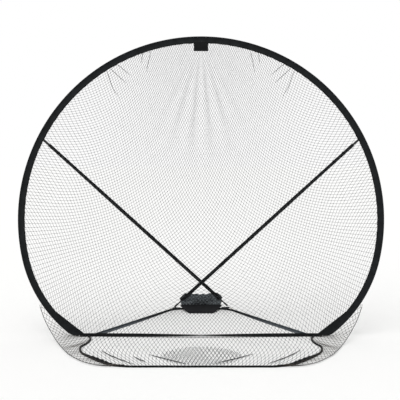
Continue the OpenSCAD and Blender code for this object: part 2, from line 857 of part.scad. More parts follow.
// Tip tab: an arrow of fabric beside the pocket with a low cup, open to the rear
tab_t = 3;
function tab_y(s) = brace_end(s == "left" ? "right" : "left")[1];
module tip_tab(s) {
    cup_r = 9;
    cup_wall = 2.4;
    cup_h = 9;
    root_x = pocket_half + sewn_gap;
    centre = tab_y(s);
    color(webbing_black)
        in_frame()
            on_side(s) {
                linear_extrude(tab_t)
                    polygon([
                        [root_x, centre - tab_w / 2], [tip_x + 6, centre - tab_w / 2],
                        [tab_reach, centre - 2], [tab_reach, centre + 2],
                        [tip_x + 6, centre + tab_w / 2], [root_x, centre + tab_w / 2]]);
                intersection() {
                    translate([tip_x, centre, 0])
                        difference() {
                            cylinder(r = cup_r + cup_wall, h = cup_h);
                            translate([0, 0, tab_t - tiny])
                                cylinder(r = cup_r, h = cup_h);
                        }
                    translate([tip_x - 2 * cup_r, centre - 2 * cup_r, 0])
                        cube([4 * cup_r, 2 * cup_r, cup_h]);
                }
            }
}

// Elastic cord from the point of a tab to the ground loop
module tab_cord(s) {
    thick = 3;
    angle = 90 - side_angle + 6;
    out = shoulder_r + bead_r + thick / 2 + sewn_gap;
    from = [tab_reach + sewn_gap + thick / 2, tab_y(s), thick / 2 + sewn_gap];
    to = [shoulder_c[0] + out * cos(angle), shoulder_c[1] + out * sin(angle), axle_z];
    run = to - from;
    color(cord_white)
        in_frame()
            on_side(s)
                translate(from)
                    rotate([0, acos(run[2] / norm(run)), atan2(run[1], run[0])])
                        cylinder(d = thick, h = norm(run), $fn = 16);
}

// Braces: each runs from its pivot to the tab on the other side
head_l = 12;
function brace_sign(s) = s == "left" ? 1 : -1;
function brace_start(s) = [-brace_sign(s) * pivot_x, 0, 0] + pivot_mid;
function brace_end(s) = [brace_sign(s) * tip_x, tip_y, tip_z]
    + brace_sign(s) * tip_shift * brace_normal;
brace_l = norm(brace_end("left") - brace_start("left"));

// Brace axis: local z runs from the pivot to the tip, local x is the thin way
module along_brace(s) {
    start = brace_start(s);
    d = unit(brace_end(s) - start);
    tilt = acos(d[2]);
    turn = atan2(d[1], d[0]);
    thin = unit(brace_normal - (brace_normal * d) * d);
    ex = [cos(turn) * cos(tilt), sin(turn) * cos(tilt), -sin(tilt)];
    ey = [-sin(turn), cos(turn), 0];
    in_frame()
        translate(start)
            rotate([0, tilt, turn])
                rotate([0, 0, atan2(thin * ey, thin * ex)])
                    children();
}

head_rod_in = 14;
head_out = 44;
tip_cap_l = 34;
tip_cap_end = 4;
rods_from = head_rod_in + fit_gap;
rods_to = brace_l - tip_cap_end;
rods_third = (rods_to - rods_from) / 3;

module brace_head(s) {
    boss_r = 7;
    color(fibreglass)
        difference() {
            union() {
                in_frame()
                    translate(brace_start(s) - [head_l / 2, 0, 0])
                        rotate([0, 90, 0])
                            cylinder(r = boss_r, h = head_l);
                along_brace(s)
                    cylinder(r = boss_r - 0.4, h = head_out);
            }
            along_brace(s)
                translate([0, 0, head_rod_in])
                    cylinder(r = rod_d / 2 + fit_gap, h = head_out);
            in_frame()
                translate(brace_start(s) - [head_l, 0, 0])
                    rotate([0, 90, 0])
                        cylinder(r = pin_d / 2 + hinge_pin_gap, h = 2 * head_l);
        }
}

module brace_pin(s) {
    loop_l = 20;
    cap_l = 3;
    out = head_l / 2 + sewn_gap + loop_l + sewn_gap;
    color(spring_steel)
        in_frame()
            translate(brace_start(s))
                rotate([0, s == "left" ? -90 : 90, 0]) {
                    translate([0, 0, -head_l / 2])
                        cylinder(r = pin_d / 2, h = head_l / 2 + out + tiny);
                    translate([0, 0, out])
                        cylinder(r = pin_d / 2 + 2, h = cap_l);
                }
}

module rod(s, k) {
    color(fibreglass)
        along_brace(s)
            translate([0, 0, rods_from + k * rods_third])
                difference() {
                    cylinder(r = rod_d / 2, h = rods_third - sewn_gap);
                    translate([0, 0, -1])
                        cylinder(r = rod_bore / 2, h = rods_third + 2);
                }
}

module rod_joints(s) {
    color(spring_steel)
        along_brace(s)
            for (k = [1, 2])
                translate([0, 0, rods_from + k * rods_third - joint_l / 2])
                    difference() {
                        cylinder(r = rod_bore / 2 - fit_gap, h = joint_l);
                        translate([0, 0, -1])
                            cylinder(r = cord_d / 2 + fit_gap, h = joint_l + 2);
                    }
}

module shock_cord(s) {
    color(cord_white)
        along_brace(s)
            translate([0, 0, rods_from + fit_gap])
                cylinder(r = cord_d / 2, h = rods_to - rods_from - 2 * fit_gap);
}

module brace_sleeve(s) {
    flat = (brace_sleeve_w - brace_sleeve_t) / 2;
    from = head_out + 1;
    color(webbing_black)
        along_brace(s)
            translate([0, 0, from])
                linear_extrude(brace_l - bare_l - from)
                    difference() {
                        union() {
                            translate([-brace_sleeve_t / 2, -flat])
                                square([brace_sleeve_t, 2 * flat]);
                            for (y = [-flat, flat])
                                translate([0, y])
                                    circle(brace_sleeve_t / 2);
                        }
                        circle(rod_d / 2 + fit_gap);
                    }
}

// Tie sewn to the outer edge of a brace sleeve: [distance out, distance down]
tie_route = [[14, 0], [18, 8], [20, 22], [20, 40], [17, 60]];
tie_w = 7;
tie_at = 0.92;

module brace_tie(s) {
    start = brace_start(s);
    d = unit(brace_end(s) - start);
    out = brace_sign(s) * unit(cross(d, brace_normal));
    flat = unit(cross(out, d));
    path = [for (p = tie_route) start + (tie_at * brace_l + p[1]) * d + p[0] * out];
    last = len(path) - 1;
    color(webbing_black)
        in_frame()
            swept([for (i = [0:last]) let (
                dir = unit(path[min(i + 1, last)] - path[max(i - 1, 0)]),
                side = unit(cross(flat, dir)))
                [for (q = [[-1, -1], [-1, 1], [1, 1], [1, -1]])
                    path[i] + tie_w / 2 * q[0] * side + strap_t / 2 * q[1] * flat]]);
}

module brace_tip(s) {
    color(fibreglass)
        along_brace(s)
            difference() {
                union() {
                    translate([0, 0, brace_l - tip_cap_l])
                        cylinder(r = rod_d / 2 + 1.3, h = tip_cap_l - 2);
                    translate([0, 0, brace_l - 2 - tiny])
                        cylinder(r1 = rod_d / 2 + 1.3, r2 = rod_d / 2 - 0.7, h = 2 + tiny);
                }
                translate([0, 0, brace_l - tip_cap_l - 1])
                    cylinder(r = rod_d / 2 + fit_gap, h = tip_cap_l + 1 - tip_cap_end + fit_gap);
            }
}

hoop_spring();
hoop_sleeve();
lower_sleeve("left");  // lower_sleeve_left
lower_sleeve("right");  // lower_sleeve_right
label();
brace_anchor("left");  // brace_anchor_left
brace_anchor("right");  // brace_anchor_right
ground_spring();
ground_sleeve();
ferrule("left");  // ferrule_left
ferrule("right");  // ferrule_right
corner_boot("left");  // corner_boot_left
corner_boot("right");  // corner_boot_right
mouth_strap();
front_hem();
side_hem("left");  // side_hem_left
side_hem("right");  // side_hem_right
bag_net();
floor_net();
pouch_net("left");  // pouch_net_left
pouch_net("right");  // pouch_net_right
pocket_floor();
pocket_panel();
tip_tab("left");  // tip_tab_left
tip_tab("right");  // tip_tab_right
tab_cord("left");  // tab_cord_left
tab_cord("right");  // tab_cord_right
brace_head("left");  // brace_head_left
brace_pin("left");  // brace_pin_left
rod("left", 0);  // rod_upper_left
rod("left", 1);  // rod_middle_left
rod("left", 2);  // rod_lower_left
rod_joints("left");  // rod_joints_left
shock_cord("left");  // shock_cord_left
brace_sleeve("left");  // brace_sleeve_left
brace_tip("left");  // brace_tip_left
brace_tie("left");  // brace_tie_left
brace_head("right");  // brace_head_right
brace_pin("right");  // brace_pin_right
rod("right", 0);  // rod_upper_right
rod("right", 1);  // rod_middle_right
rod("right", 2);  // rod_lower_right
rod_joints("right");  // rod_joints_right
shock_cord("right");  // shock_cord_right
brace_sleeve("right");  // brace_sleeve_right
brace_tip("right");  // brace_tip_right
brace_tie("right");  // brace_tie_right
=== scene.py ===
import bpy, bmesh, json, random
import numpy as np
from math import asin, atan2, cos, degrees, exp, hypot, pi, radians, sin, sqrt, tan
from mathutils import Vector, Matrix
from mathutils.bvhtree import BVHTree


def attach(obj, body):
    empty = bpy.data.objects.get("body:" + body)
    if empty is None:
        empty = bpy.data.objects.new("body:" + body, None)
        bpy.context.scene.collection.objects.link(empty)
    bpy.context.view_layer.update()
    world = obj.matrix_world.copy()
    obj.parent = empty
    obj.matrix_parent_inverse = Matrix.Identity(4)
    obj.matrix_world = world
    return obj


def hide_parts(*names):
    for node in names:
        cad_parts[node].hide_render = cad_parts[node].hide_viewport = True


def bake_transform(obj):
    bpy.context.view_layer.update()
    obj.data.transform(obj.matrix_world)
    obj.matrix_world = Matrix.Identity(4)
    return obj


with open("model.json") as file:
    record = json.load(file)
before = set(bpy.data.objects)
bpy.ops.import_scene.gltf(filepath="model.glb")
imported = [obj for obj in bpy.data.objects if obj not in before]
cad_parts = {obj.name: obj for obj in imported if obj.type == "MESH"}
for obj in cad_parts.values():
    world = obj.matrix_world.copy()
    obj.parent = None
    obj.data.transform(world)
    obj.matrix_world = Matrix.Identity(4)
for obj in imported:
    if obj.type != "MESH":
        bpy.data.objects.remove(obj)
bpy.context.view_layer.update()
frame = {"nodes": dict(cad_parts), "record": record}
print("frame loaded")

# lengths are in millimetres until a mesh is made; the hinge line gives the place in the frame
mm = 0.001
metre = 1000
hinge = frame["record"]["behaviour"]["joints"][0]["pos_m"]
shiftY = hinge[1] / mm
axleZ = hinge[2] / mm
sides = {"left": -1, "right": 1}


def place(x, y, z):
    return Vector((x * mm, (y + shiftY) * mm, z * mm))


def turned(angle):
    # the flat direction at an angle in degrees
    return Vector((cos(radians(angle)), sin(radians(angle))))


def ease(t):
    # from 0 to 1, slow at both ends
    t = min(1, max(0, t))
    return t * t * (3 - 2 * t)


def addObject(name, data):
    added = bpy.data.objects.new(name, data)
    bpy.context.collection.objects.link(added)
    return added


# ---------- camera, floor and light

camera = {"distance": 4421, "height": 1201.6, "pitch": 5.228, "lens": 69.84, "sensor": 36,
          "sideShift": -0.0025, "farthest": 60}
light = {"world": 0.7, "sun": 1.26, "sunAngle": 50, "tilt": 36, "turn": -28}
floorSize = 20  # metres

cameraData = bpy.data.cameras.new("camera")
cameraData.lens = camera["lens"]
cameraData.sensor_width = camera["sensor"]
cameraData.shift_x = camera["sideShift"]
cameraData.clip_end = camera["farthest"]
cameraObject = addObject("camera", cameraData)
cameraObject.location = place(0, -camera["distance"], camera["height"])
cameraObject.rotation_euler = (radians(90 - camera["pitch"]), 0, 0)
bpy.context.scene.camera = cameraObject
bpy.context.scene.view_settings.view_transform = "Standard"


def linearColour(hexText):
    values = [int(hexText[i:i + 2], 16) / 255 for i in (1, 3, 5)]
    return [v / 12.92 if v <= 0.04045 else ((v + 0.055) / 1.055) ** 2.4 for v in values] + [1.0]


def addNode(tree, kind, links=None, **settings):
    # one node; links maps an input's name or number to a value, an output, or a node for its first output
    node = tree.nodes.new(kind)
    for key, value in settings.items():
        setattr(node, key, value)
    for key, value in (links or {}).items():
        if isinstance(value, bpy.types.Node):
            value = value.outputs[0]
        if isinstance(value, bpy.types.NodeSocket):
            tree.links.new(value, node.inputs[key])
        else:
            node.inputs[key].default_value = value
    return node


def newMaterial(name):
    material = bpy.data.materials.new(name)
    material.use_nodes = True
    material.node_tree.nodes.clear()
    return material, material.node_tree


def finishMaterial(tree, shader):
    addNode(tree, "ShaderNodeOutputMaterial", {"Surface": shader})


sunData = bpy.data.lights.new("softSun", "SUN")
sunData.energy = light["sun"]
sunData.angle = radians(light["sunAngle"])
addObject("softSun", sunData).rotation_euler = (radians(light["tilt"]), 0, radians(light["turn"]))

world = bpy.data.worlds.new("studio")
world.use_nodes = True
bpy.context.scene.world = world
worldTree = world.node_tree
worldTree.nodes.clear()
rays = addNode(worldTree, "ShaderNodeLightPath")
white = (1, 1, 1, 1)
seen = rays.outputs["Is Camera Ray"]
for kind in ("Is Glossy Ray", "Is Transmission Ray"):
    seen = addNode(worldTree, "ShaderNodeMath", {0: seen, 1: rays.outputs[kind]}, operation="MAXIMUM")
softLight = addNode(worldTree, "ShaderNodeBackground", {"Color": white, "Strength": light["world"]})
backdrop = addNode(worldTree, "ShaderNodeBackground", {"Color": white, "Strength": 1.0})
mixed = addNode(worldTree, "ShaderNodeMixShader", {0: seen, 1: softLight, 2: backdrop})
addNode(worldTree, "ShaderNodeOutputWorld", {"Surface": mixed})


def makeFloor():
    # painted studio floor: near white and matt, so that the soft shadow shows on it
    material, tree = newMaterial("paintedStudioFloor")
    paint = addNode(tree, "ShaderNodeBsdfPrincipled", {
        "Base Color": linearColour("#fdfdfc"), "Roughness": 1.0, "Specular IOR Level": 0.0})
    finishMaterial(tree, paint)
    bm = bmesh.new()
    bmesh.ops.create_grid(bm, x_segments=1, y_segments=1, size=floorSize)
    mesh = bpy.data.meshes.new("floor")
    bm.to_mesh(mesh)
    bm.free()
    mesh.materials.append(material)
    addObject("floor", mesh)


makeFloor()
print("camera, light and floor ready")

# ---------- materials


def wave(tree, value, pitch):
    # a smooth 0..1 wave of the given pitch in metres
    turn = addNode(tree, "ShaderNodeMath", {0: value, 1: 2 * pi / pitch}, operation="MULTIPLY")
    sine = addNode(tree, "ShaderNodeMath", {0: turn}, operation="SINE")
    return addNode(tree, "ShaderNodeMath", {0: sine, 1: 0.5, 2: 0.5}, operation="MULTIPLY_ADD")


def shadeBetween(tree, value, low, high, dark, pale):
    # dark where the value is low, pale where it is high
    ramp = addNode(tree, "ShaderNodeValToRGB", {0: value})
    for element, position, colour in zip(ramp.color_ramp.elements, (low, high), (dark, pale)):
        element.position = position
        element.color = linearColour(colour)
    return ramp


def wovenMaterial(name, dark, pale, threadPitch=0.0012, roughness=0.85, bump=0.25, mapped=True, patch=0.03,
                  paleEnds=None):
    # thread over and under thread at threadPitch, with a slow change of shade from wear in patches
    material, tree = newMaterial(name)
    spot = addNode(tree, "ShaderNodeTexCoord").outputs["Object"]
    # the piece's own map, in metres along it and across it, or its place where it has no map
    source = addNode(tree, "ShaderNodeUVMap", uv_map="along") if mapped else spot
    parts = addNode(tree, "ShaderNodeSeparateXYZ", {0: source})
    slope = addNode(tree, "ShaderNodeMath", {0: parts.outputs[1], 1: parts.outputs[2]}, operation="ADD")
    warp, weft = [wave(tree, run, threadPitch) for run in (parts, slope)]
    weave = addNode(tree, "ShaderNodeMath", {0: warp, 1: weft}, operation="MULTIPLY")
    cloud = addNode(tree, "ShaderNodeTexNoise", {"Vector": spot, "Scale": 1 / patch, "Detail": 4.0})
    both = addNode(tree, "ShaderNodeMath", {0: weave, 1: 0.35, 2: cloud}, operation="MULTIPLY_ADD")
    shade = shadeBetween(tree, both, 0.35, 0.85, dark, pale)
    if paleEnds:
        # worn paler towards the two front corners
        across = addNode(tree, "ShaderNodeSeparateXYZ", {0: spot})
        away = addNode(tree, "ShaderNodeMath", {0: across}, operation="ABSOLUTE")
        wear = addNode(tree, "ShaderNodeMapRange", {
            "Value": away, "From Min": 0.28, "From Max": 0.42})
        worn = addNode(tree, "ShaderNodeMix", {0: wear, 6: shade, 7: linearColour(paleEnds)},
                       data_type="RGBA")
        shade = worn.outputs[2]
    relief = addNode(tree, "ShaderNodeBump", {"Height": weave, "Strength": bump, "Distance": 0.0004})
    cloth = addNode(tree, "ShaderNodeBsdfPrincipled", {
        "Base Color": shade, "Roughness": roughness, "Normal": relief, "Sheen Weight": 0.05,
        "Specular IOR Level": 0.15})
    finishMaterial(tree, cloth)
    return material


def plainMaterial(name, dark, pale, roughness, metallic=0.0, patch=0.01, streak=(1, 1, 1), bump=0.1):
    # moulded, drawn or spun surface with a slight mottle
    material, tree = newMaterial(name)
    spot = addNode(tree, "ShaderNodeTexCoord").outputs["Object"]
    stretch = addNode(tree, "ShaderNodeMapping", {"Vector": spot, "Scale": streak})
    cloud = addNode(tree, "ShaderNodeTexNoise", {
        "Vector": stretch, "Scale": 1 / patch, "Detail": 5.0})
    relief = addNode(tree, "ShaderNodeBump", {"Height": cloud, "Strength": bump, "Distance": 0.0003})
    surface = addNode(tree, "ShaderNodeBsdfPrincipled", {
        "Base Color": shadeBetween(tree, cloud, 0.3, 0.75, dark, pale), "Roughness": roughness,
        "Metallic": metallic, "Normal": relief})
    finishMaterial(tree, surface)
    return material


# woven polyester: matt, near black, a fine even thread
sleeveCloth = wovenMaterial("polyesterSleeveCloth", "#0e1011", "#1d2022")
# folded tape: darker than the sleeve, coarser thread
bindingTape = wovenMaterial("blackBindingTape", "#0c0d0e", "#17191a", threadPitch=0.0016)
# heavy webbing: the blackest cloth, with a raised 2 mm weave
blackWebbing = wovenMaterial("wovenBlackWebbing", "#08090a", "#151617", threadPitch=0.002, bump=0.4)
# sleeve tape on the ground: scuffed grey near the two front corners
wornTape = wovenMaterial("wornSleeveTape", "#101213", "#1e2123", threadPitch=0.0016, paleEnds="#464c51")
# slate mesh: pale and dark dots, drawn at 16 mm because its true 2 mm would not show
pocketCloth = wovenMaterial("slatePocketMesh", "#2c3033", "#8b9296", threadPitch=0.016, bump=0.5, patch=0.012)
# close cloth: almost black, without a pattern
pocketDark = wovenMaterial("darkPocketCloth", "#0b0c0f", "#141519", threadPitch=0.0018)
# nylon tape: plain matt black
plainCloth = wovenMaterial("blackNylonTape", "#0d0e0f", "#1e2022", mapped=False)
# braided twine: dull grey, lighter where the braid catches light
twineGrey = plainMaterial("braidedPolyesterTwine", "#2a2d2f", "#414547", 0.8, patch=0.004, bump=0.3)
# the same twine, gathered: a browner, dustier grey
twineDark = plainMaterial("bunchedPolyesterTwine", "#3a3733", "#565049", 0.85, patch=0.004, bump=0.3)
# twine pressed together: near black, as little light gets in
twineDarkest = plainMaterial("creasedPolyesterTwine", "#191b1c", "#303334", 0.85, patch=0.004, bump=0.3)
# drawn, oiled spring wire: a clear grey shine along it
springSteel = plainMaterial("oiledSpringSteel", "#8a8c90", "#b4b6b9", 0.35, metallic=1.0, patch=0.003,
                            streak=(0.1, 1, 1))
# nickelled brass: bright, slightly clouded
crimpedBrass = plainMaterial("nickelledFerrule", "#a2a3a6", "#c8c9cb", 0.3, metallic=1.0, patch=0.004)
# pultruded fibreglass: smooth black, faint fibres along it
fibreglass = plainMaterial("blackPultrudedFibreglass", "#0b0b0c", "#1d1d1e", 0.35, patch=0.002,
                           streak=(1, 1, 0.1))
# moulded nylon: satin black with a fine mottle
mouldedNylon = plainMaterial("mouldedBlackNylon", "#0d0d0e", "#1a1a1b", 0.5, patch=0.002)
# elastic in a braided cover: warm pale grey
elasticCord = wovenMaterial("paleElasticCord", "#a8a294", "#cfcabc", threadPitch=0.001, mapped=False)
print("materials ready")

# ---------- making meshes


def newPiece(name, made, material, body, replaces=()):
    # made is a bmesh or a finished mesh
    mesh = made
    if isinstance(made, bmesh.types.BMesh):
        mesh = bpy.data.meshes.new(name)
        made.to_mesh(mesh)
        made.free()
    for entry in material if isinstance(material, list) else [material]:
        mesh.materials.append(entry)
    piece = addObject(name, mesh)
    if body:
        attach(piece, body)
    if replaces:
        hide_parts(*replaces)
    return piece


def lengthsOf(points):
    out = [0.0]
    for a, b in zip(points, points[1:]):
        out.append(out[-1] + (b - a).length)
    return out


def loft(rings, stations, faceSlot=None):
    # a ring of edges extruded from station to station; the map holds metres along and across
    bm = bmesh.new()
    uvLayer = bm.loops.layers.uv.new("along")
    count = len(rings[0])
    current = [bm.verts.new(p) for p in rings[0]]
    across = lengthsOf(rings[0] + rings[0][:1])
    where = {v: (stations[0], k) for k, v in enumerate(current)}
    edges = [bm.edges.new((current[k], current[(k + 1) % count])) for k in range(count)]
    firstEdges = list(edges)
    for ring, station in zip(rings[1:], stations[1:]):
        made = bmesh.ops.extrude_edge_only(bm, edges=edges)["geom"]
        fresh = {g for g in made if isinstance(g, bmesh.types.BMVert)}
        following = []
        for k, v in enumerate(current):
            partner = next(e.other_vert(v) for e in v.link_edges if e.other_vert(v) in fresh)
            partner.co = ring[k]
            where[partner] = (station, k)
            following.append(partner)
        current = following
        edges = [g for g in made if isinstance(g, bmesh.types.BMEdge) and fresh.issuperset(g.verts)]
    for face in bm.faces:
        face.smooth = True
        numbers = [where[l.vert][1] for l in face.loops]
        wraps = 0 in numbers and count - 1 in numbers
        for l in face.loops:
            station, k = where[l.vert]
            l[uvLayer].uv = (station, across[count if wraps and k == 0 else k])
        if faceSlot:
            face.material_index = faceSlot(count - 1 if wraps else min(numbers))
    bmesh.ops.edgeloop_fill(bm, edges=firstEdges)
    bmesh.ops.edgeloop_fill(bm, edges=edges)
    bmesh.ops.recalc_face_normals(bm, faces=bm.faces)
    return bm


def catmull(points, steps):
    # a smooth line through flat points
    points = [Vector(p) for p in points]
    out = []
    for i in range(len(points) - 1):
        a, b = points[max(i - 1, 0)], points[i]
        c, d = points[i + 1], points[min(i + 2, len(points) - 1)]
        for k in range(steps):
            t = k / steps
            bend = t * t * (2 * a - 5 * b + 4 * c - d) + t ** 3 * (3 * b - a - 3 * c + d)
            out.append(0.5 * (2 * b + t * (c - a) + bend))
    return out + [points[-1]]


def tube(name, points, radii, material, body, replaces=(), sidesCount=10):
    # a rolled hem or cord along a smooth line, pressed flat where it meets the ground
    rings = []
    for i, p in enumerate(points):
        tangent = (points[min(i + 1, len(points) - 1)] - points[max(i - 1, 0)]).normalized()
        level = abs(tangent.z) < 0.95
        side = tangent.cross(Vector((0, 0, 1))).normalized() if level else Vector((1, 0, 0))
        top = side.cross(tangent)
        ring = []
        for k in range(sidesCount):
            d = turned(360 * (k + 0.5) / sidesCount)
            q = p + (side * d.x + top * d.y) * radii[i] * mm
            q.z = max(q.z, 0)
            ring.append(q)
        rings.append(ring)
    return newPiece(name, loft(rings, lengthsOf(points)), material, body, replaces)


def bunchedLine(name, points, look, body):
    # twine bunched along a crease, thick and thin by turns, fading out at both ends
    runs = lengthsOf(points)
    radii = []
    for run in runs:
        ends = min(1, 4 * run / runs[-1], 4 * (1 - run / runs[-1]))
        bunch = look["bunch"] * abs(sin(run / mm * pi / look["pitch"]))
        radii.append((0.35 + 0.65 * ends) * (look["radius"] + bunch))
    return tube(name, points, radii, twineDarkest, body, sidesCount=6)


def arcStations(centre, radius, start, end, count):
    # point and outward direction at each station of an arc
    outs = [turned(start + (end - start) * k / count) for k in range(count + 1)]
    return [(centre + radius * out, out) for out in outs]


def bothFaces(front, between=()):
    # an outline's front face, what joins the faces, and the front's mirror at the back
    return front + list(between) + [(a, -b) for a, b in reversed(front)]


def sweep(name, stations, ringAt, materials, body, replaces, faceSlot=None):
    # a hem along its stations; ringAt takes a point, its outward direction and the run so far
    runs = lengthsOf([point for point, out in stations])
    rings = [ringAt(point, out, run) for (point, out), run in zip(stations, runs)]
    bm = loft(rings, [run * mm for run in runs], faceSlot)
    return newPiece(name, bm, materials, body, replaces)


# ---------- the hoop's line, in its own plane

hoop = {"width": 2134, "lean": 6, "lowerStart": 12.5, "lowerRadius": 758, "toeAngle": 39, "toeRadius": 100,
        "beadRadius": 4.5, "hemWidth": 36, "gussetHeight": 139, "tipX": 672.3, "tipY": 6.5, "levelEnd": 706.5}
lean = radians(hoop["lean"])
hoopRadius = hoop["width"] / 2 - hoop["beadRadius"]
hoopCentreY = (hoopRadius * turned(hoop["lowerStart"]).y
               + hoop["lowerRadius"] * (turned(hoop["toeAngle"]).x - turned(hoop["lowerStart"]).y)
               + hoop["toeRadius"] * (1 - turned(hoop["toeAngle"]).x))
hoopCentre = Vector((0, hoopCentreY))
lowerCentre = hoopCentre + (hoopRadius - hoop["lowerRadius"]) * turned(-hoop["lowerStart"])
toeCentre = lowerCentre + (hoop["lowerRadius"] - hoop["toeRadius"]) * turned(hoop["toeAngle"] - 90)
lowerHem = hoop["lowerRadius"] - hoop["hemWidth"]
gussetAngle = degrees(asin((lowerCentre.y - hoop["gussetHeight"]) / lowerHem))
gussetTop = lowerCentre + lowerHem * turned(-gussetAngle)
gussetTip = Vector((hoop["tipX"], hoop["tipY"]))
gussetEdge = gussetTip - gussetTop


def inHoop(u, v, w=0.0):
    # across, up the hoop, towards the front
    return place(u, v * sin(lean) - w * cos(lean), axleZ + v * cos(lean) + w * sin(lean))


# ---------- the ground loop's line

ground = {"corner": 643, "sideAngle": 56, "shoulderRadius": 120, "bowRadius": 480, "bowHalf": 20,
          "bendRadius": 40, "hemWidth": 30, "rearHem": 8, "hemThickness": 2.4, "foot": 1.5}
legAngle, bowAngle = 90 - ground["sideAngle"], 90 - ground["bowHalf"]
legOut, bowEdge = turned(legAngle), turned(bowAngle)
legAlong = Vector((-legOut.y, legOut.x))
cornerSpot = Vector((ground["corner"], 0))
bowX = ground["bowRadius"] * bowEdge.x
shoulderX = bowX + ground["shoulderRadius"] * (legOut.x - bowEdge.x)
shoulder = Vector((shoulderX, (ground["corner"] - shoulderX) * tan(radians(ground["sideAngle"]))))
shoulderCentre = shoulder - ground["shoulderRadius"] * legOut
bowCentre = Vector((0, shoulderCentre.y + (ground["shoulderRadius"] - ground["bowRadius"]) * bowEdge.y))
bowY = bowCentre.y + ground["bowRadius"]


def groundStations():
    # from the right corner over the bow to the left corner
    first = cornerSpot + ground["bendRadius"] * tan(radians(ground["sideAngle"] / 2)) * legAlong
    half = [(first + (shoulder - first) * k / 40, legOut) for k in range(40)]
    half += arcStations(shoulderCentre, ground["shoulderRadius"], legAngle, bowAngle, 10)
    half += arcStations(bowCentre, ground["bowRadius"], bowAngle, 90, 14)[1:]
    return half + [(Vector((-p.x, p.y)), Vector((-o.x, o.y))) for p, o in reversed(half[:-1])]


# ---------- tab cords: elastic, from each brace tip's tab to the shoulder of the ground loop

cordRun = {"thick": 3, "reach": 197.8, "height": 1.8, "steps": 15, "pastShoulder": 6}
tabY = {"left": 711.87, "right": 723.84}
for side, sign in sides.items():
    out = ground["shoulderRadius"] + hoop["beadRadius"] + cordRun["height"]
    end = shoulderCentre + out * turned(legAngle + cordRun["pastShoulder"])
    start = Vector((cordRun["reach"], tabY[side], cordRun["height"]))
    points = []
    for k in range(cordRun["steps"] + 1):
        spot = start + (Vector((*end, axleZ)) - start) * k / cordRun["steps"]
        points.append(place(sign * spot.x, spot.y, spot.z))
    piece = tube("tabCord_" + side, points, [cordRun["thick"] / 2] * len(points), elasticCord, "ground",
                 ["tab_cord_" + side], sidesCount=8)
print("tab cords ready")

# ---------- hoop band: wire bead, flat hem and the binding along its inner edge

band = {"beadSteps": 14, "hemThickness": 2.4, "bindingWidth": 6.5, "bindingThickness": 3.6, "ripple": 0.9,
        "ripplePitch": 64, "rippleChange": 173}


def bandProfile(hemWidth, inward=0.0):
    # outline as (outward, up) pairs, from the front of the hem round the bead to the back
    half, bindHalf = band["hemThickness"] / 2, band["bindingThickness"] / 2
    bind = min(band["bindingWidth"], hemWidth * 0.4)
    inner = -hemWidth - inward
    join = -sqrt(hoop["beadRadius"] ** 2 - (half + 0.6) ** 2)
    front = [(inner, half * 0.5), (inner + 0.6, bindHalf), (inner + bind - 0.6, bindHalf),
             (inner + bind, half), ((inner + bind + join) / 2, half), (join, half + 0.6)]
    start = degrees(atan2(half + 0.6, join))
    bead = arcStations(Vector((0, 0)), hoop["beadRadius"], start, -start, band["beadSteps"])[1:-1]
    return bothFaces(front, [tuple(p) for p, out in bead])


def bandFaces(k):
    # binding tape on the hem's edge and a dark line along the bead
    last = band["beadSteps"] + 11
    return 1 if k <= 2 or k >= last - 3 or 9 <= k <= 14 else 0


def hoopRing(point, out, run):
    ripple = band["ripple"] * sin(2 * pi * run / band["ripplePitch"]) * sin(run / band["rippleChange"])
    return [inHoop(*(point + out * a), b) for a, b in bandProfile(hoop["hemWidth"], ripple)]


def gussetWidth(point, out):
    # how far the band reaches inwards from the wire: its hem, or in the gusset as far as the slanting edge
    offset = gussetTop - point
    cross = out.y * gussetEdge.x - out.x * gussetEdge.y
    if point.y < gussetTop.y + 60 and abs(cross) > 1e-6:
        reach = (offset.x * gussetEdge.y - offset.y * gussetEdge.x) / cross
        if reach > 0 and (point - out * reach).y < gussetTop.y:
            return max(reach, 7.0)
    return hoop["hemWidth"]


def makeLowerBand(side, sign):
    def ringAt(point, out, run):
        spots = [(point + out * a, b) for a, b in bandProfile(gussetWidth(point, out))]
        return [inHoop(sign * spot.x, spot.y, b) for spot, b in spots]
    stations = arcStations(lowerCentre, hoop["lowerRadius"], -hoop["lowerStart"], hoop["toeAngle"] - 90, 48)
    stations += arcStations(toeCentre, hoop["toeRadius"], hoop["toeAngle"] - 90, -90, 12)[1:]
    return sweep("lowerBand_" + side, stations, ringAt, [sleeveCloth, bindingTape], "hoop",
                 ["lower_sleeve_" + side], bandFaces)


def makeGussetTip(side, sign):
    # the flat end of the gusset, which runs on over the corner joint
    rings, marks = [], []
    half = band["hemThickness"] / 2
    for x in np.linspace(toeCentre.x + 0.2, hoop["tipX"] - 0.5, 12):
        top = max(gussetTop.y + gussetEdge.y * (x - gussetTop.x) / gussetEdge.x, hoop["tipY"]) + 0.8
        low = min(hoop["tipY"] + 0.1 if x < hoop["levelEnd"] else -hoop["beadRadius"] + 0.2, top - 0.6)
        front = [(low, half * 0.5), (low + 0.2, half), ((low + top) / 2, half), (top - 0.3, half + 0.4),
                 (top, half * 0.5)]
        rings.append([inHoop(sign * x, v, w) for v, w in bothFaces(front)])
        marks.append(x * mm)
    return newPiece("gussetTip_" + side, loft(rings, marks), sleeveCloth, "hoop")


hoopStations = arcStations(hoopCentre, hoopRadius, -hoop["lowerStart"], 180 + hoop["lowerStart"], 260)
sweep("hoopBand", hoopStations, hoopRing, [sleeveCloth, bindingTape], "hoop", ["hoop_sleeve"], bandFaces)
for side, sign in sides.items():
    makeLowerBand(side, sign)
    makeGussetTip(side, sign)
print("hoop band ready")

# ---------- ground band


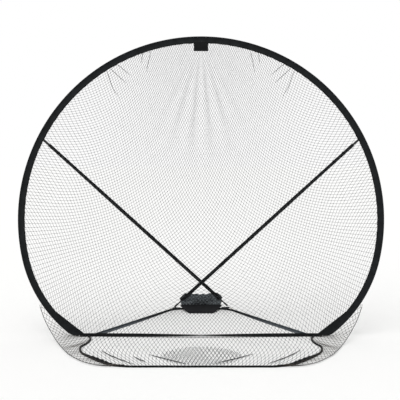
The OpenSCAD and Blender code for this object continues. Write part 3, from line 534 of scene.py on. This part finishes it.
def groundRing(point, out, run):
    # a hem that narrows towards the back, and the bead with a flat foot
    thick = ground["hemThickness"]
    inner = -ground["rearHem"] - (ground["hemWidth"] - ground["rearHem"]) * ease((abs(point.x) - 150) / 330)
    outline = [(inner, 0), (inner, 0.5 * thick), (inner + 0.6, thick + 0.5), (inner + 4, thick + 0.5),
               (inner + 4.6, thick), (-6, thick)]
    outline += [tuple(p) for p, o in arcStations(Vector((0, axleZ)), hoop["beadRadius"], 215, -75, 12)]
    outline += [(ground["foot"] + 0.4, 0.4), (ground["foot"], 0)]
    return [place(*(point + out * a), b) for a, b in outline]


sweep("groundBand", groundStations(), groundRing, wornTape, "ground", ["ground_sleeve"])
print("ground band ready")

# ---------- netting: a lattice laid on a surface, then turned into twine and knots

twine = {"bag": (1.4, 1.75), "floor": (1.2, 1.7), "pouch": (1.7, 2.2)}  # thickness, and radius of the knots
stub = {"halvings": 9, "shortest": 0.04}  # twine runs on from the last crossing to the net's edge


def twineTree(name, thick, knot):
    # edges become three-sided twine, 1.2 times as wide to look as thick as a round one; crossings get knots
    tree = bpy.data.node_groups.new(name, "GeometryNodeTree")
    for direction in ("INPUT", "OUTPUT"):
        tree.interface.new_socket("Geometry", in_out=direction, socket_type="NodeSocketGeometry")
    start = addNode(tree, "NodeGroupInput")
    strands = addNode(tree, "GeometryNodeMeshToCurve", {0: start})
    outline = addNode(tree, "GeometryNodeCurvePrimitiveCircle", {
        "Resolution": 3, "Radius": thick / 2 * 1.2 * mm})
    strand = addNode(tree, "GeometryNodeCurveToMesh", {0: strands, 1: outline})
    points = addNode(tree, "GeometryNodeMeshToPoints", {0: start})
    bead = addNode(tree, "GeometryNodeMeshUVSphere", {"Segments": 4, "Rings": 2, "Radius": knot * mm})
    knots = addNode(tree, "GeometryNodeInstanceOnPoints", {"Points": points, "Instance": bead})
    real = addNode(tree, "GeometryNodeRealizeInstances", {0: knots})
    joined = addNode(tree, "GeometryNodeJoinGeometry")
    tree.links.new(real.outputs[0], joined.inputs[0])
    tree.links.new(strand.outputs[0], joined.inputs[0])
    addNode(tree, "NodeGroupOutput", {0: joined})
    return tree


twineTrees = {net: twineTree(net + "Twine", *sizes) for net, sizes in twine.items()}


def lastSpot(near, far, lay):
    # the farthest laid point on the way from a crossing inside the net to one outside it
    best, low, high = None, 0.0, 1.0
    for _ in range(stub["halvings"]):
        middle = (low + high) / 2
        spot = lay(near + (far - near) * middle)
        if spot is None:
            high = middle
        else:
            low, best = middle, spot
    return best if low > stub["shortest"] else None


def netMesh(name, net, cells, lay):
    # cells is a grid of flat positions; lay gives a position's place in space, or nothing outside the net
    rows, columns = cells.shape[:2]
    bm = bmesh.new()
    made = {}
    for i, j in np.ndindex(rows, columns):
        spot = None if np.isnan(cells[i, j][0]) else lay(cells[i, j])
        if spot is not None:
            made[i, j] = bm.verts.new(spot)
    for i, j in np.ndindex(rows, columns):
        for p, q in (((i, j), (i + 1, j)), ((i, j), (i, j + 1))):
            if q[0] >= rows or q[1] >= columns or not (p in made or q in made):
                continue
            if p in made and q in made:
                bm.edges.new((made[p], made[q]))
                continue
            inside, outside = (p, q) if p in made else (q, p)
            if not np.isnan(cells[outside][0]):
                end = lastSpot(cells[inside], cells[outside], lay)
                if end is not None:
                    bm.edges.new((made[inside], bm.verts.new(end)))
    loose = [v for v in bm.verts if not v.link_edges]
    bmesh.ops.delete(bm, geom=loose, context="VERTS")
    guide = bpy.data.meshes.new(name + "Guide")
    bm.to_mesh(guide)
    bm.free()
    guideObject = addObject(name + "Guide", guide)
    guideObject.modifiers.new("twine", "NODES").node_group = twineTrees[net]
    graph = bpy.context.evaluated_depsgraph_get()
    mesh = bpy.data.meshes.new_from_object(guideObject.evaluated_get(graph), depsgraph=graph)
    bpy.data.objects.remove(guideObject)
    mesh.name = name
    mesh.materials.clear()
    return mesh


# ---------- bag net: a surface hung between the hoop's hem and the ground loop

# the pocket's sizes come first, because the net is drawn up over its crest
pocket = {"half": 138, "frontHalf": 81, "topHalf": 103, "lowHalf": 131, "bulge": 14, "crest": 24, "top": 109,
          "depth": 146, "thickness": 1.4}
bag = {"round": 120, "down": 48, "slack": 0.4, "draw": 90, "tuck": 14, "crestBack": 12, "smoothings": 4000,
       "footShare": 0.4, "footHeight": 3.4, "inset": 7, "behindHem": 2.6, "foldCount": 34, "foldDepth": 5}
crestY = bowY + bag["crestBack"]


def resample(points, count):
    run = np.concatenate([[0], np.cumsum(np.linalg.norm(np.diff(points, axis=0), axis=1))])
    steps = np.linspace(0, run[-1], count + 1)
    return np.stack([np.interp(steps, run, points[:, k]) for k in range(3)], axis=1)


def rimLine():
    # along the inner edge of the hoop's hem, from the right corner over the top to the left one
    low, main = lowerHem + bag["tuck"], hoopRadius - hoop["hemWidth"] + bag["tuck"]
    arcs = arcStations(lowerCentre, low, -gussetAngle, -hoop["lowerStart"], 16)
    arcs += arcStations(hoopCentre, main, -hoop["lowerStart"], 90, 60)[1:]
    rim = [gussetTip + Vector((-6, 6))] + [p for p, out in arcs]
    rim += [Vector((-p.x, p.y)) for p in reversed(rim[:-1])]
    return resample(np.array([tuple(inHoop(p.x, p.y, -bag["behindHem"])) for p in rim]), bag["round"])


def footLine():
    # along the ground loop, up to the pocket's crest and down again
    height, crest, half = bag["footHeight"], pocket["crest"] + 1.9, pocket["half"] + 3
    corner = cornerSpot + 26 * legAlong - bag["inset"] * legOut
    bend = arcStations(shoulderCentre, ground["shoulderRadius"] - bag["inset"], legAngle, bowAngle - 2, 8)
    foot = [(p.x, p.y, height) for p in [corner] + [p for p, out in bend]] + [(half, crestY - 14, crest)]
    sideCount = round(bag["round"] * bag["footShare"])
    footSide = resample(np.array(foot), sideCount)
    middle = bag["round"] - 2 * sideCount
    footMiddle = [[half * (1 - 2 * k / middle), crestY - 6, crest] for k in range(1, middle)]
    line = np.concatenate([footSide, np.array(footMiddle), footSide[::-1] * [-1, 1, 1]])
    return (line + [0, shiftY, 0]) * mm


def bagSurface():
    t = np.linspace(0, 1, bag["down"] + 1)[None, :, None]
    loose = rimLine()[:, None] * (1 - t) + footLine()[:, None] * t
    tight = loose.copy()
    for _ in range(bag["smoothings"]):
        tight[1:-1, 1:-1] = (tight[:-2, 1:-1] + tight[2:, 1:-1] + tight[1:-1, :-2] + tight[1:-1, 2:]) / 4
    surface = tight + (loose - tight) * bag["slack"]
    i = np.linspace(0, 1, bag["round"] + 1)[:, None]
    j = np.linspace(0, 1, bag["down"] + 1)[None]
    surface[:, :, 1] -= bag["draw"] * mm * np.sin(np.pi * j ** 2.2) * np.sin(np.pi * i) ** 2
    # soft folds that hang from the label and gathers along the rim
    fold = np.sin(np.pi * i) ** 8 * np.sin(2 * np.pi * i * bag["foldCount"]) * np.sin(np.pi * j) * (1 - j)
    surface[:, :, 1] += bag["foldDepth"] * mm * fold
    return surface


bagSheet = bagSurface()
across, down = bagSheet.shape[:2]
bagFaces = [(i * down + j, (i + 1) * down + j, (i + 1) * down + j + 1, i * down + j + 1)
            for i in range(across - 1) for j in range(down - 1)]
bagTree = BVHTree.FromPolygons([Vector(p) for p in bagSheet.reshape(-1, 3)], bagFaces)

# soft folds below the label: in metres from the label's foot, and radians from straight down
drape = {"top": 1.74, "spacing": 0.19, "depth": 0.36, "half": 0.6, "start": 0.04, "end": 0.85, "gain": 1.6}


def layOnBag(spot):
    # the folds fan out, which draws the twines together and apart
    x, below = spot[0], drape["top"] - spot[1]
    far, angle = hypot(x, below), atan2(x, below)
    along = abs(2 * (far - drape["start"]) / (drape["end"] - drape["start"]) - 0.8)
    window = max(0.0, 1 - abs(angle) / drape["half"]) * max(0.0, 1 - along)
    reach = drape["depth"] * drape["spacing"] / (2 * pi) * min(1.0, drape["gain"] * window)
    angle += reach * sin(2 * pi * angle / drape["spacing"])
    ahead = Vector((far * sin(angle), -3.0, drape["top"] - far * cos(angle)))
    return bagTree.ray_cast(ahead, Vector((0, 1, 0)), 6.0)[0]


# creases where the net is gathered to the hoop: across and height, in metres
crease = {"radius": 0.9, "bunch": 0.8, "pitch": 14, "lift": 0.0015, "share": {"left": 1.0, "right": 0.985}}
creases = [
    [(-0.562, 1.565), (-0.545, 1.52), (-0.522, 1.45), (-0.49, 1.395)],
    [(-0.548, 1.57), (-0.5, 1.525), (-0.44, 1.47)],
    [(-0.52, 1.588), (-0.483, 1.572), (-0.45, 1.545), (-0.415, 1.516)],
    [(-0.3, 1.674), (-0.297, 1.64), (-0.312, 1.58), (-0.32, 1.534)],
    [(-0.335, 1.665), (-0.345, 1.62), (-0.348, 1.585)],
]

# the run of one family of twines, as a smooth field over the hoop; the other family mirrors it
twineField = [-32.646, 0.991, -3.043, -2.772, 60.875, 54.767, 2.579, -8.424, 19.214, -13.08, -14.049, -20.254,
              -51.073, -2.211]
field = {"degree": 4, "height": 0.9, "reachHeight": 0.66, "reach": 0.86}
fieldPowers = [(a, b) for a in range(field["degree"] + 1) for b in range(field["degree"] + 1 - a) if a + b]
lattice = {"reach": 125, "tries": 12, "close": 1e-5, "leastTurn": 50, "half": 1.25, "low": -0.25, "high": 2.0,
           "longest": 0.05}


def polynomial(x, z):
    # the field's value and its slopes across and upwards
    above = z - field["height"]
    value = slopeX = slopeZ = 0.0
    for c, (a, b) in zip(twineField, fieldPowers):
        value += c * x ** a * above ** b
        slopeX += c * a * x ** max(a - 1, 0) * above ** b
        slopeZ += c * b * x ** a * above ** max(b - 1, 0)
    return value, slopeX, slopeZ


def fieldAt(x, z):
    # past its reach the field runs on straight
    far = hypot(x, z - field["reachHeight"])
    if far <= field["reach"]:
        return polynomial(x, z)
    edgeX = x * field["reach"] / far
    edgeZ = field["reachHeight"] + (z - field["reachHeight"]) * field["reach"] / far
    value, slopeX, slopeZ = polynomial(edgeX, edgeZ)
    return value + slopeX * (x - edgeX) + slopeZ * (z - edgeZ), slopeX, slopeZ


def settle(m, n, start):
    # where twine m of one family crosses twine n of the other
    x, z = start
    for _ in range(lattice["tries"]):
        f, fx, fz = fieldAt(x, z)
        g, gx, gz = fieldAt(-x, z)
        gx = -gx
        e1, e2 = f - m, g - n
        if abs(e1) + abs(e2) < lattice["close"]:
            return x, z
        det = fx * gz - fz * gx
        if abs(det) < lattice["leastTurn"]:
            return None
        x, z = x - (e1 * gz - e2 * fz) / det, z - (e2 * fx - e1 * gx) / det
        if abs(x) > lattice["half"] or z < lattice["low"] or z > lattice["high"]:
            return None
    return None


def solveLattice():
    # walks outwards from the middle, so that each crossing starts from its neighbour's place
    middle = lattice["reach"]
    size = 2 * middle + 1
    cells = np.full((size, size, 2), np.nan)
    cells[middle, middle] = settle(0, 0, (0.0, field["height"]))
    queue = [(middle, middle)]
    while queue:
        m, n = queue.pop()
        here = cells[m, n]
        for a, b in ((m + 1, n), (m - 1, n), (m, n + 1), (m, n - 1)):
            if 0 <= a < size and 0 <= b < size and np.isnan(cells[a, b][0]):
                spot = settle(a - middle, b - middle, here)
                if spot is not None and hypot(spot[0] - here[0], spot[1] - here[1]) < lattice["longest"]:
                    cells[a, b] = spot
                    queue.append((a, b))
    return cells


# Three slopes, each given as its growth per metre outwards, backwards and upwards, and its value at the
# corner line. The net is parted where two agree, and each piece keeps the points where its own slope is the
# least.
turnWith = {"Foot": ((2.811, 0.234, 6.029), -1.872), "Side": ((0.563, -0.792, 1.002), 0.174),
            "": ((0.122, -1.303, 0.393), 0.702)}


def slopeOf(part, sign):
    (outwards, back, up), offset = turnWith[part]
    return Vector((sign * outwards, back, up)), offset


def bendNet(piece):
    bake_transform(piece)


def partOfBag(mesh, part, sign):
    slope, offset = slopeOf(part, sign)
    bm = bmesh.new()
    bm.from_mesh(mesh)
    for other in turnWith:
        if other != part:
            otherSlope, otherOffset = slopeOf(other, sign)
            away = otherSlope - slope
            point = place(*(metre * (offset - otherOffset) * away / away.length_squared))
            bmesh.ops.bisect_plane(bm, geom=bm.verts[:] + bm.edges[:] + bm.faces[:], plane_co=point,
                                   plane_no=away.normalized(), clear_inner=True)
    return bm


cells = solveLattice()
print("lattice", int(np.isfinite(cells[:, :, 0]).sum()))


def makeBagNet(side, sign):
    def layHalf(spot):
        return layOnBag(spot) if spot[0] * sign >= (0 if sign > 0 else 1e-9) else None
    mesh = netMesh("bagNetWhole_" + side, "bag", cells, layHalf)
    parts = []
    for part in turnWith:
        bm = partOfBag(mesh, part, sign)
        piece = newPiece("bagNet%s_%s" % (part, side), bm, twineGrey, None, ["bag_net"])
        bendNet(piece)
        parts.append(piece)
    return parts


def makeCrease(number, side, sign):
    points = []
    for p in catmull(creases[number], 16):
        hit = layOnBag((-sign * p.x * crease["share"][side], p.y))
        if hit is not None:
            points.append(hit - Vector((0, crease["lift"], 0)))
    piece = bunchedLine("crease%d_%s" % (number, side), points, crease, None)
    bendNet(piece)
    return piece


bagNets = {side: makeBagNet(side, sign) for side, sign in sides.items()}
for number in range(len(creases)):
    for side, sign in sides.items():
        bagNets[side].append(makeCrease(number, side, sign))
for foot, flank, main, *lines in bagNets.values():
    # a net's cloth is its twine, which is taken as 0.3 of the cut here and 0.4 in the pouches
    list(lines)
print("bag net ready")

# tufts of twine where the net is tied in along the hoop's hem
tufts = {"count": 74, "length": 11, "aside": 6, "thickEnd": 1.17, "thinEnd": 0.45, "seed": 5, "past": 8}


def makeTufts():
    rng = random.Random(tufts["seed"])
    bm = bmesh.new()
    bm.loops.layers.uv.new("along")
    for k in range(tufts["count"]):
        share = (k + rng.uniform(-0.3, 0.3)) / (tufts["count"] - 1)
        out = turned(-tufts["past"] + (180 + 2 * tufts["past"]) * share)
        root = hoopCentre + (hoopRadius - hoop["hemWidth"] + 1) * out
        tip = root - out * tufts["length"] * rng.uniform(0.4, 1.0)
        tip += Vector((-out.y, out.x)) * rng.uniform(-tufts["aside"], tufts["aside"])
        a, b = inHoop(root.x, root.y, 1.5), inHoop(tip.x, tip.y, rng.uniform(-1, 2))
        cone = bmesh.ops.create_cone(bm, cap_ends=True, segments=5, radius1=tufts["thickEnd"] * mm,
                                     radius2=tufts["thinEnd"] * mm, depth=(b - a).length)
        turn = (b - a).to_track_quat("Z", "Y").to_matrix().to_4x4()
        bmesh.ops.transform(bm, matrix=Matrix.Translation((a + b) / 2) @ turn, verts=cone["verts"])
    for face in bm.faces:
        face.smooth = True
    return newPiece("hemTufts", bm, twineDarkest, "hoop")


makeTufts()
print("tufts ready")

# ---------- floor net and apron

apron = {"front": 587, "half": 371, "meshWidth": 23, "meshLength": 104, "rollRadius": 5.5, "height": 1.0,
         "narrow": 0.24, "narrowFrom": 120, "layerWidth": 20, "layerLength": 88, "layerHeight": 4.6}
sideRoute = [(371, -587), (451, -562), (528, -495), (606, -400), (643, -340), (661, -272), (660, -215),
             (640, -160), (632, -100), (638, -45), (653, -10.4)]


def insidePolygon(polygon):
    xs, ys = np.array(polygon, float).T
    xn, yn = np.roll(xs, -1), np.roll(ys, -1)

    def test(p):
        crossing = (ys > p[1]) != (yn > p[1])
        with np.errstate(divide="ignore", invalid="ignore"):
            at = xs + (p[1] - ys) * (xn - xs) / (yn - ys)
        return bool(np.count_nonzero(crossing & (p[0] < at)) % 2)
    return test


def diamonds(width, length, middle):
    # crossings of diamond meshes of the given width and length, over the whole floor
    count = int(1700 / width) + int(1500 / length)
    m, n = np.meshgrid(np.arange(-count, count + 1), np.arange(-count, count + 1), indexing="ij")
    return np.stack([middle[0] + (m - n) * width / 2, middle[1] + (m + n) * length / 2], axis=2).astype(float)


floorHalf = [(p.x - 3, p.y) for p in catmull(sideRoute, 6)]
legSide = [p - o * (ground["hemWidth"] - 8) for p, o in groundStations()]
floorHalf += [(p.x, p.y) for p in legSide if p.x > 0]
onFloor = insidePolygon(floorHalf + [(-x, y) for x, y in reversed(floorHalf)])


def layOnFloor(spot):
    # the meshes draw in towards the shorter front hem
    t = min(1, max(0, (-spot[1] - apron["narrowFrom"]) / (apron["front"] - apron["narrowFrom"])))
    x = spot[0] * (1 - apron["narrow"] * t * t)
    if not onFloor((x, spot[1])):
        return None
    wrinkle = 1.2 * (1 + sin(x / 61.0 + spot[1] / 43.0)) if spot[1] < -40 else 0
    return place(x, spot[1], apron["height"] + wrinkle)


# folds of loose net that lie across the apron, as bunched twine, and a second layer in the middle
folds = {"radius": 1.5, "bunch": 1.3, "pitch": 21, "height": 4.2, "behind": {"left": 0, "right": 9}}
foldLines = [
    [(-543, -296), (-495, -372), (-440, -443), (-345, -547)],
    [(-357, -408), (-322, -462), (-286, -506)],
    [(-279, -374), (-190, -450), (-75, -541)],
]
lens = [(-212, -372), (-125, -268), (0, -238), (125, -268), (212, -372), (192, -470), (100, -543),
        (-100, -543), (-192, -470)]
inLens = insidePolygon(catmull(lens + lens[:1], 6))


def layOnLens(spot):
    return place(*spot, apron["layerHeight"]) if inLens(spot) else None


floorCells = diamonds(apron["meshWidth"], apron["meshLength"], (0, 30))
floorMesh = netMesh("floorNet", "floor", floorCells, layOnFloor)
floorNet = newPiece("floorNet", floorMesh, twineGrey, "ground", ["floor_net"])
layerCells = diamonds(apron["layerWidth"], apron["layerLength"], (5, -390))
layerMesh = netMesh("apronLayer", "floor", layerCells, layOnLens)
foldPieces = [newPiece("apronLayer", layerMesh, twineGrey, "ground")]
for number, line in enumerate(foldLines):
    for side, sign in sides.items():
        if side == "right" and number == 1:
            continue  # the short fold is at the left only
        points = [place(-sign * p.x, p.y + folds["behind"][side], folds["height"]) for p in catmull(line, 30)]
        foldPieces.append(bunchedLine("apronFold%d_%s" % (number, side), points, folds, "ground"))
print("apron ready")

# ---------- hems round the apron

rollZ = apron["rollRadius"] - 0.8
swelling = {"middle": Vector((545, -500)), "reach": 110, "share": 0.8}


def makeFrontHem():
    count = 90
    points = [place(x, -apron["front"] + 0.7 * sin(x / 37.0), rollZ)
              for x in np.linspace(-apron["half"] + 0.5, apron["half"] - 0.5, count)]
    radii = [apron["rollRadius"] * (1 + 0.05 * sin(k * 1.9)) for k in range(count)]
    return tube("frontHem", points, radii, blackWebbing, "ground", ["front_hem"])


def makeSideHem(side, sign):
    points, radii = [], []
    for k, p in enumerate(catmull(sideRoute, 8)):
        near = exp(-((p - swelling["middle"]).length / swelling["reach"]) ** 2)
        r = apron["rollRadius"] * (1.0 + swelling["share"] * near + (0.05 + 0.22 * near) * sin(k * 2.3))
        radii.append(r)
        points.append(place(sign * p.x, p.y, rollZ) + Vector((0, 0, (r - apron["rollRadius"]) * mm)))
    return tube("sideHem_" + side, points, radii, blackWebbing, "ground", ["side_hem_" + side])


makeFrontHem()
for side, sign in sides.items():
    makeSideHem(side, sign)
print("hems ready")

# ---------- mouth strap: on edge at the corners, flat in the middle

strap = {"width": 20, "thickness": 1.6, "edge": 0.4, "turn": 600, "y": -7.2, "z": 1.9, "end": 703}


def makeStrap():
    rings, marks = [], []
    half, thin, edge = strap["width"] / 2, strap["thickness"] / 2, strap["edge"]
    for x in np.linspace(-strap["end"], strap["end"], 181):
        angle = radians(90 * min(1, abs(x) / strap["turn"]))
        middle = place(x, strap["y"] - cos(angle) * (half - thin), strap["z"] + half)
        u = Vector((0, cos(angle), sin(angle)))
        v = Vector((0, -sin(angle), cos(angle)))
        front = [(-half, -edge), (-half + 0.6, -thin), (0, -thin), (half - 0.6, -thin), (half, -edge)]
        rings.append([middle + (u * a + v * b) * mm for a, b in bothFaces(front)])
        marks.append((x + strap["end"]) * mm)
    return newPiece("mouthStrap", loft(rings, marks), blackWebbing, "ground", ["mouth_strap"])


makeStrap()

# ---------- side pouches

pouch = {"outer": [(934, 6, 176), (898, -40, 107), (850, -92, 45), (815, -150, 21), (783, -205, 6),
                   (737, -309, 6), (695, -393, 6), (612, -505, 6), (530, -566, 6), (456, -581, 6)],
         "pitch": 21, "along": 60, "firstAngle": -33, "sag": 3.0, "edge": 1.6, "bend": (12, 95)}


def makePouch(side, sign):
    inner = []
    outR = hoop["lowerRadius"] + hoop["beadRadius"] + 2
    for q, out in arcStations(lowerCentre, outR, pouch["firstAngle"], hoop["toeAngle"] - 92, 12):
        inner.append((q.x, q.y * sin(lean) - 6, axleZ + q.y * cos(lean)))
    inner.append((toeCentre.x, -12, 12))
    inner += [(p.x, p.y, 12.5) for p in reversed(catmull(sideRoute, 4)[:-6])]
    innerEdge = resample(np.array(inner, float), pouch["along"])
    outerEdge = resample(np.array([tuple(p) for p in catmull(pouch["outer"], 5)]), pouch["along"])
    length = float(np.linalg.norm(np.diff(outerEdge, axis=0), axis=1).sum())

    def lay(spot):
        # spot: millimetres along the outer edge, millimetres in from it
        s = spot[0] / length
        if not 0 <= s <= 1:
            return None
        k = min(int(s * pouch["along"]), pouch["along"] - 1)
        f = s * pouch["along"] - k
        a = innerEdge[k] * (1 - f) + innerEdge[k + 1] * f
        b = outerEdge[k] * (1 - f) + outerEdge[k + 1] * f
        t = 1 - spot[1] / float(np.linalg.norm(a - b))
        if not 0 <= t <= 1:
            return None
        p = a * (1 - t) + b * t
        sag = pouch["sag"] * sin(pi * t) * sin(s * 40)
        return place(sign * p[0], p[1], max(p[2] + sag, 2.5))

    pitch = pouch["pitch"] * sqrt(2)
    mesh = netMesh("pouchNet_" + side, "pouch", diamonds(pitch, pitch, (length / 2, 60)), lay)
    piece = newPiece("pouchNet_" + side, mesh, twineDark, None, ["pouch_net_" + side])
    edge = [place(sign * p[0], p[1], max(p[2], 3)) for p in outerEdge]
    radii = [pouch["edge"]] * len(edge)
    rim = tube("pouchEdge_" + side, edge, radii, bindingTape, None, sidesCount=6)
    for soft in (piece, rim):
        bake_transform(soft)


for side, sign in sides.items():
    makePouch(side, sign)
print("pouches ready")

# ---------- label and rear pocket: sewn panels

label = {"width": 84, "drop": 45, "sewn": 12, "thickness": 1.2, "curl": 1.6, "corner": 0.03}


def clothGrid(name, columns, rows, lay, weave, thickness, material, body, replaces, thin=False):
    # lay places a share across and a share up; weave gives the cloth's own map from the place
    bm = bmesh.new()
    bmesh.ops.create_grid(bm, x_segments=columns, y_segments=rows, size=0.5)
    uvLayer = bm.loops.layers.uv.new("along")
    for v in bm.verts:
        v.co = lay(v.co.x, v.co.y + 0.5)
    for face in bm.faces:
        face.smooth = True
        for l in face.loops:
            l[uvLayer].uv = weave(l.vert.co)
    if not thin:
        bmesh.ops.recalc_face_normals(bm, faces=bm.faces)  # the wall then grows square to the cloth
    bmesh.ops.solidify(bm, geom=bm.faces[:], thickness=thickness * mm)
    bmesh.ops.recalc_face_normals(bm, faces=bm.faces)
    return newPiece(name, bm, material, body, replaces)


def layLabel(u, t):
    # its foot curls forward and its two lower corners are a little rounded
    top = hoopCentreY + sqrt((hoopRadius - hoop["hemWidth"]) ** 2 - (label["width"] / 2) ** 2) + label["sewn"]
    x = u * label["width"] * (1 - label["corner"] * max(0, (0.08 - t) / 0.08))
    curl = label["curl"] * (1 - t) ** 2 * cos(u * pi)
    return inHoop(x, top - (label["drop"] + label["sewn"]) * (1 - t), band["hemThickness"] / 2 + 0.9 + curl)


def biasWeave(co):
    # the pocket's mesh runs at 45 degrees to its edges
    slope = co.z + 0.4 * co.y
    return (co.x + slope) * 0.7071, (co.x - slope) * 0.7071


def layPanel(u, t):
    # rear panel: upright behind the net, its upper edge a shallow curve, its upper corners behind the braces
    low, crest = pocket["lowHalf"], pocket["crest"]
    half = low + pocket["bulge"] * sin(pi * t) - (low - pocket["topHalf"]) * t * t
    scallop = 2.6 * t ** 6 * (sin(u * 31) - 1) - 4 * t ** 3 * cos(u * pi) ** 2
    away = 20 * ease((abs(2 * u * half) - 42) / 30) * ease(t / 0.35)
    y = crestY - 1.5 - 34.5 * t - 4 * sin(pi * t) * cos(u * pi) + away
    return place(2 * u * half, y, crest + 0.9 + (pocket["top"] - crest + 1.5) * t + scallop)


def layPocketFloor(u, t):
    # floor panel: from the front edge on the net up to the crest
    half = pocket["frontHalf"] + (pocket["half"] - pocket["frontHalf"]) * min(1, t / 0.84)
    frill = 2.5 * (1 - t) ** 6 * sin(u * 61)
    y = crestY - pocket["depth"] + (pocket["depth"] - 2) * t + frill
    z = 3.2 + (pocket["crest"] - 3.2) * t + 2.0 * sin(pi * t) * cos(u * pi)
    return place(2 * u * half, y, z)


clothGrid("label", 20, 14, layLabel, lambda co: (co.x, co.z), label["thickness"], blackWebbing, "hoop",
          ["label"], thin=True)
wall = pocket["thickness"]
panel = clothGrid("pocketPanel", 40, 20, layPanel, biasWeave, wall, pocketCloth, "ground",
                  ["pocket_panel"])
floorPanel = clothGrid("pocketFloor", 40, 24, layPocketFloor, biasWeave, wall, pocketDark, "ground",
                       ["pocket_floor"])
print("label and pocket ready")

# ---------- braces

brace = {"pivotX": 921, "pivotUp": 1140, "pivotBack": 10, "tipX": 178, "tipBack": 20, "tipZ": 12.6,
         "sleeveWidth": 20, "sleeveThick": 10.6, "headOut": 44, "bare": 75, "slack": 1.9, "slackFrom": 250,
         "slackOver": 400, "steps": 150}


def braceFrame(sign):
    # the rod's line from pin to tip, and the directions through its sleeve's thickness and width
    y = brace["pivotUp"] * sin(lean) + brace["pivotBack"] * cos(lean)
    z = axleZ + brace["pivotUp"] * cos(lean) - brace["pivotBack"] * sin(lean)
    tip = Vector((0, bowY + brace["tipBack"], brace["tipZ"]))
    drop = tip - Vector((0, y, z))
    normal = Vector((0, -drop.z, drop.y)).normalized()
    start = Vector((sign * brace["pivotX"], y, z))
    share = brace["pivotX"] / (brace["pivotX"] + brace["tipX"])
    shift = (brace["sleeveThick"] / 2 + 0.3) / share
    end = Vector((-sign * brace["tipX"], tip.y, tip.z)) - sign * shift * normal
    along = (end - start).normalized()
    thin = (normal - normal.dot(along) * along).normalized()
    return start, (end - start).length, along, thin, along.cross(thin)


def makeSleeve(side, sign):
    # two webs of cloth sewn round the rod, puckered by the seams and slacker towards the tip
    start, length, along, thin, wide = braceFrame(sign)
    core = brace["sleeveThick"] / 2
    rings, marks = [], []
    for s in np.linspace(brace["headOut"] + 1, length - brace["bare"], brace["steps"] + 1):
        pucker = 0.5 * sin(s / 23.0) + 0.4 * sin(s / 9.1)
        slack = brace["slack"] * ease((s - brace["slackFrom"]) / brace["slackOver"])
        half = brace["sleeveWidth"] / 2 + 0.5 + 0.5 * pucker + slack
        front = [(-half, -0.8), (-half + 2.5, -1.2), (-5.2, -2.0), (-3.7, -3.7), (0, -core), (3.7, -3.7),
                 (5.2, -2.0), (half - 2.5, -1.2), (half, -0.8)]
        middle = start + along * s
        rings.append([place(*(middle + wide * a + thin * b)) for a, b in bothFaces(front)])
        marks.append(s * mm)
    return newPiece("braceSleeve_" + side, loft(rings, marks), blackWebbing, "brace_" + side,
                    ["brace_sleeve_" + side])


for side, sign in sides.items():
    makeSleeve(side, sign)
print("braces ready")

# ---------- finishes for the nodes that stay

nodeFinish = [
    (springSteel, ("hoop_spring", "ground_spring", "brace_pin_", "rod_joints_")),
    (plainCloth, ("corner_boot_", "brace_anchor_", "tip_tab_", "brace_tie_")),
    (fibreglass, ("rod_upper_", "rod_middle_", "rod_lower_")),
    (mouldedNylon, ("brace_head_", "brace_tip_")),
    (crimpedBrass, ("ferrule_",)),
    (elasticCord, ("shock_cord_",)),
]
for name, node in frame["nodes"].items():
    for material, starts in nodeFinish:
        if name.startswith(starts):
            node.data.materials.clear()
            node.data.materials.append(material)
print("finishes ready")
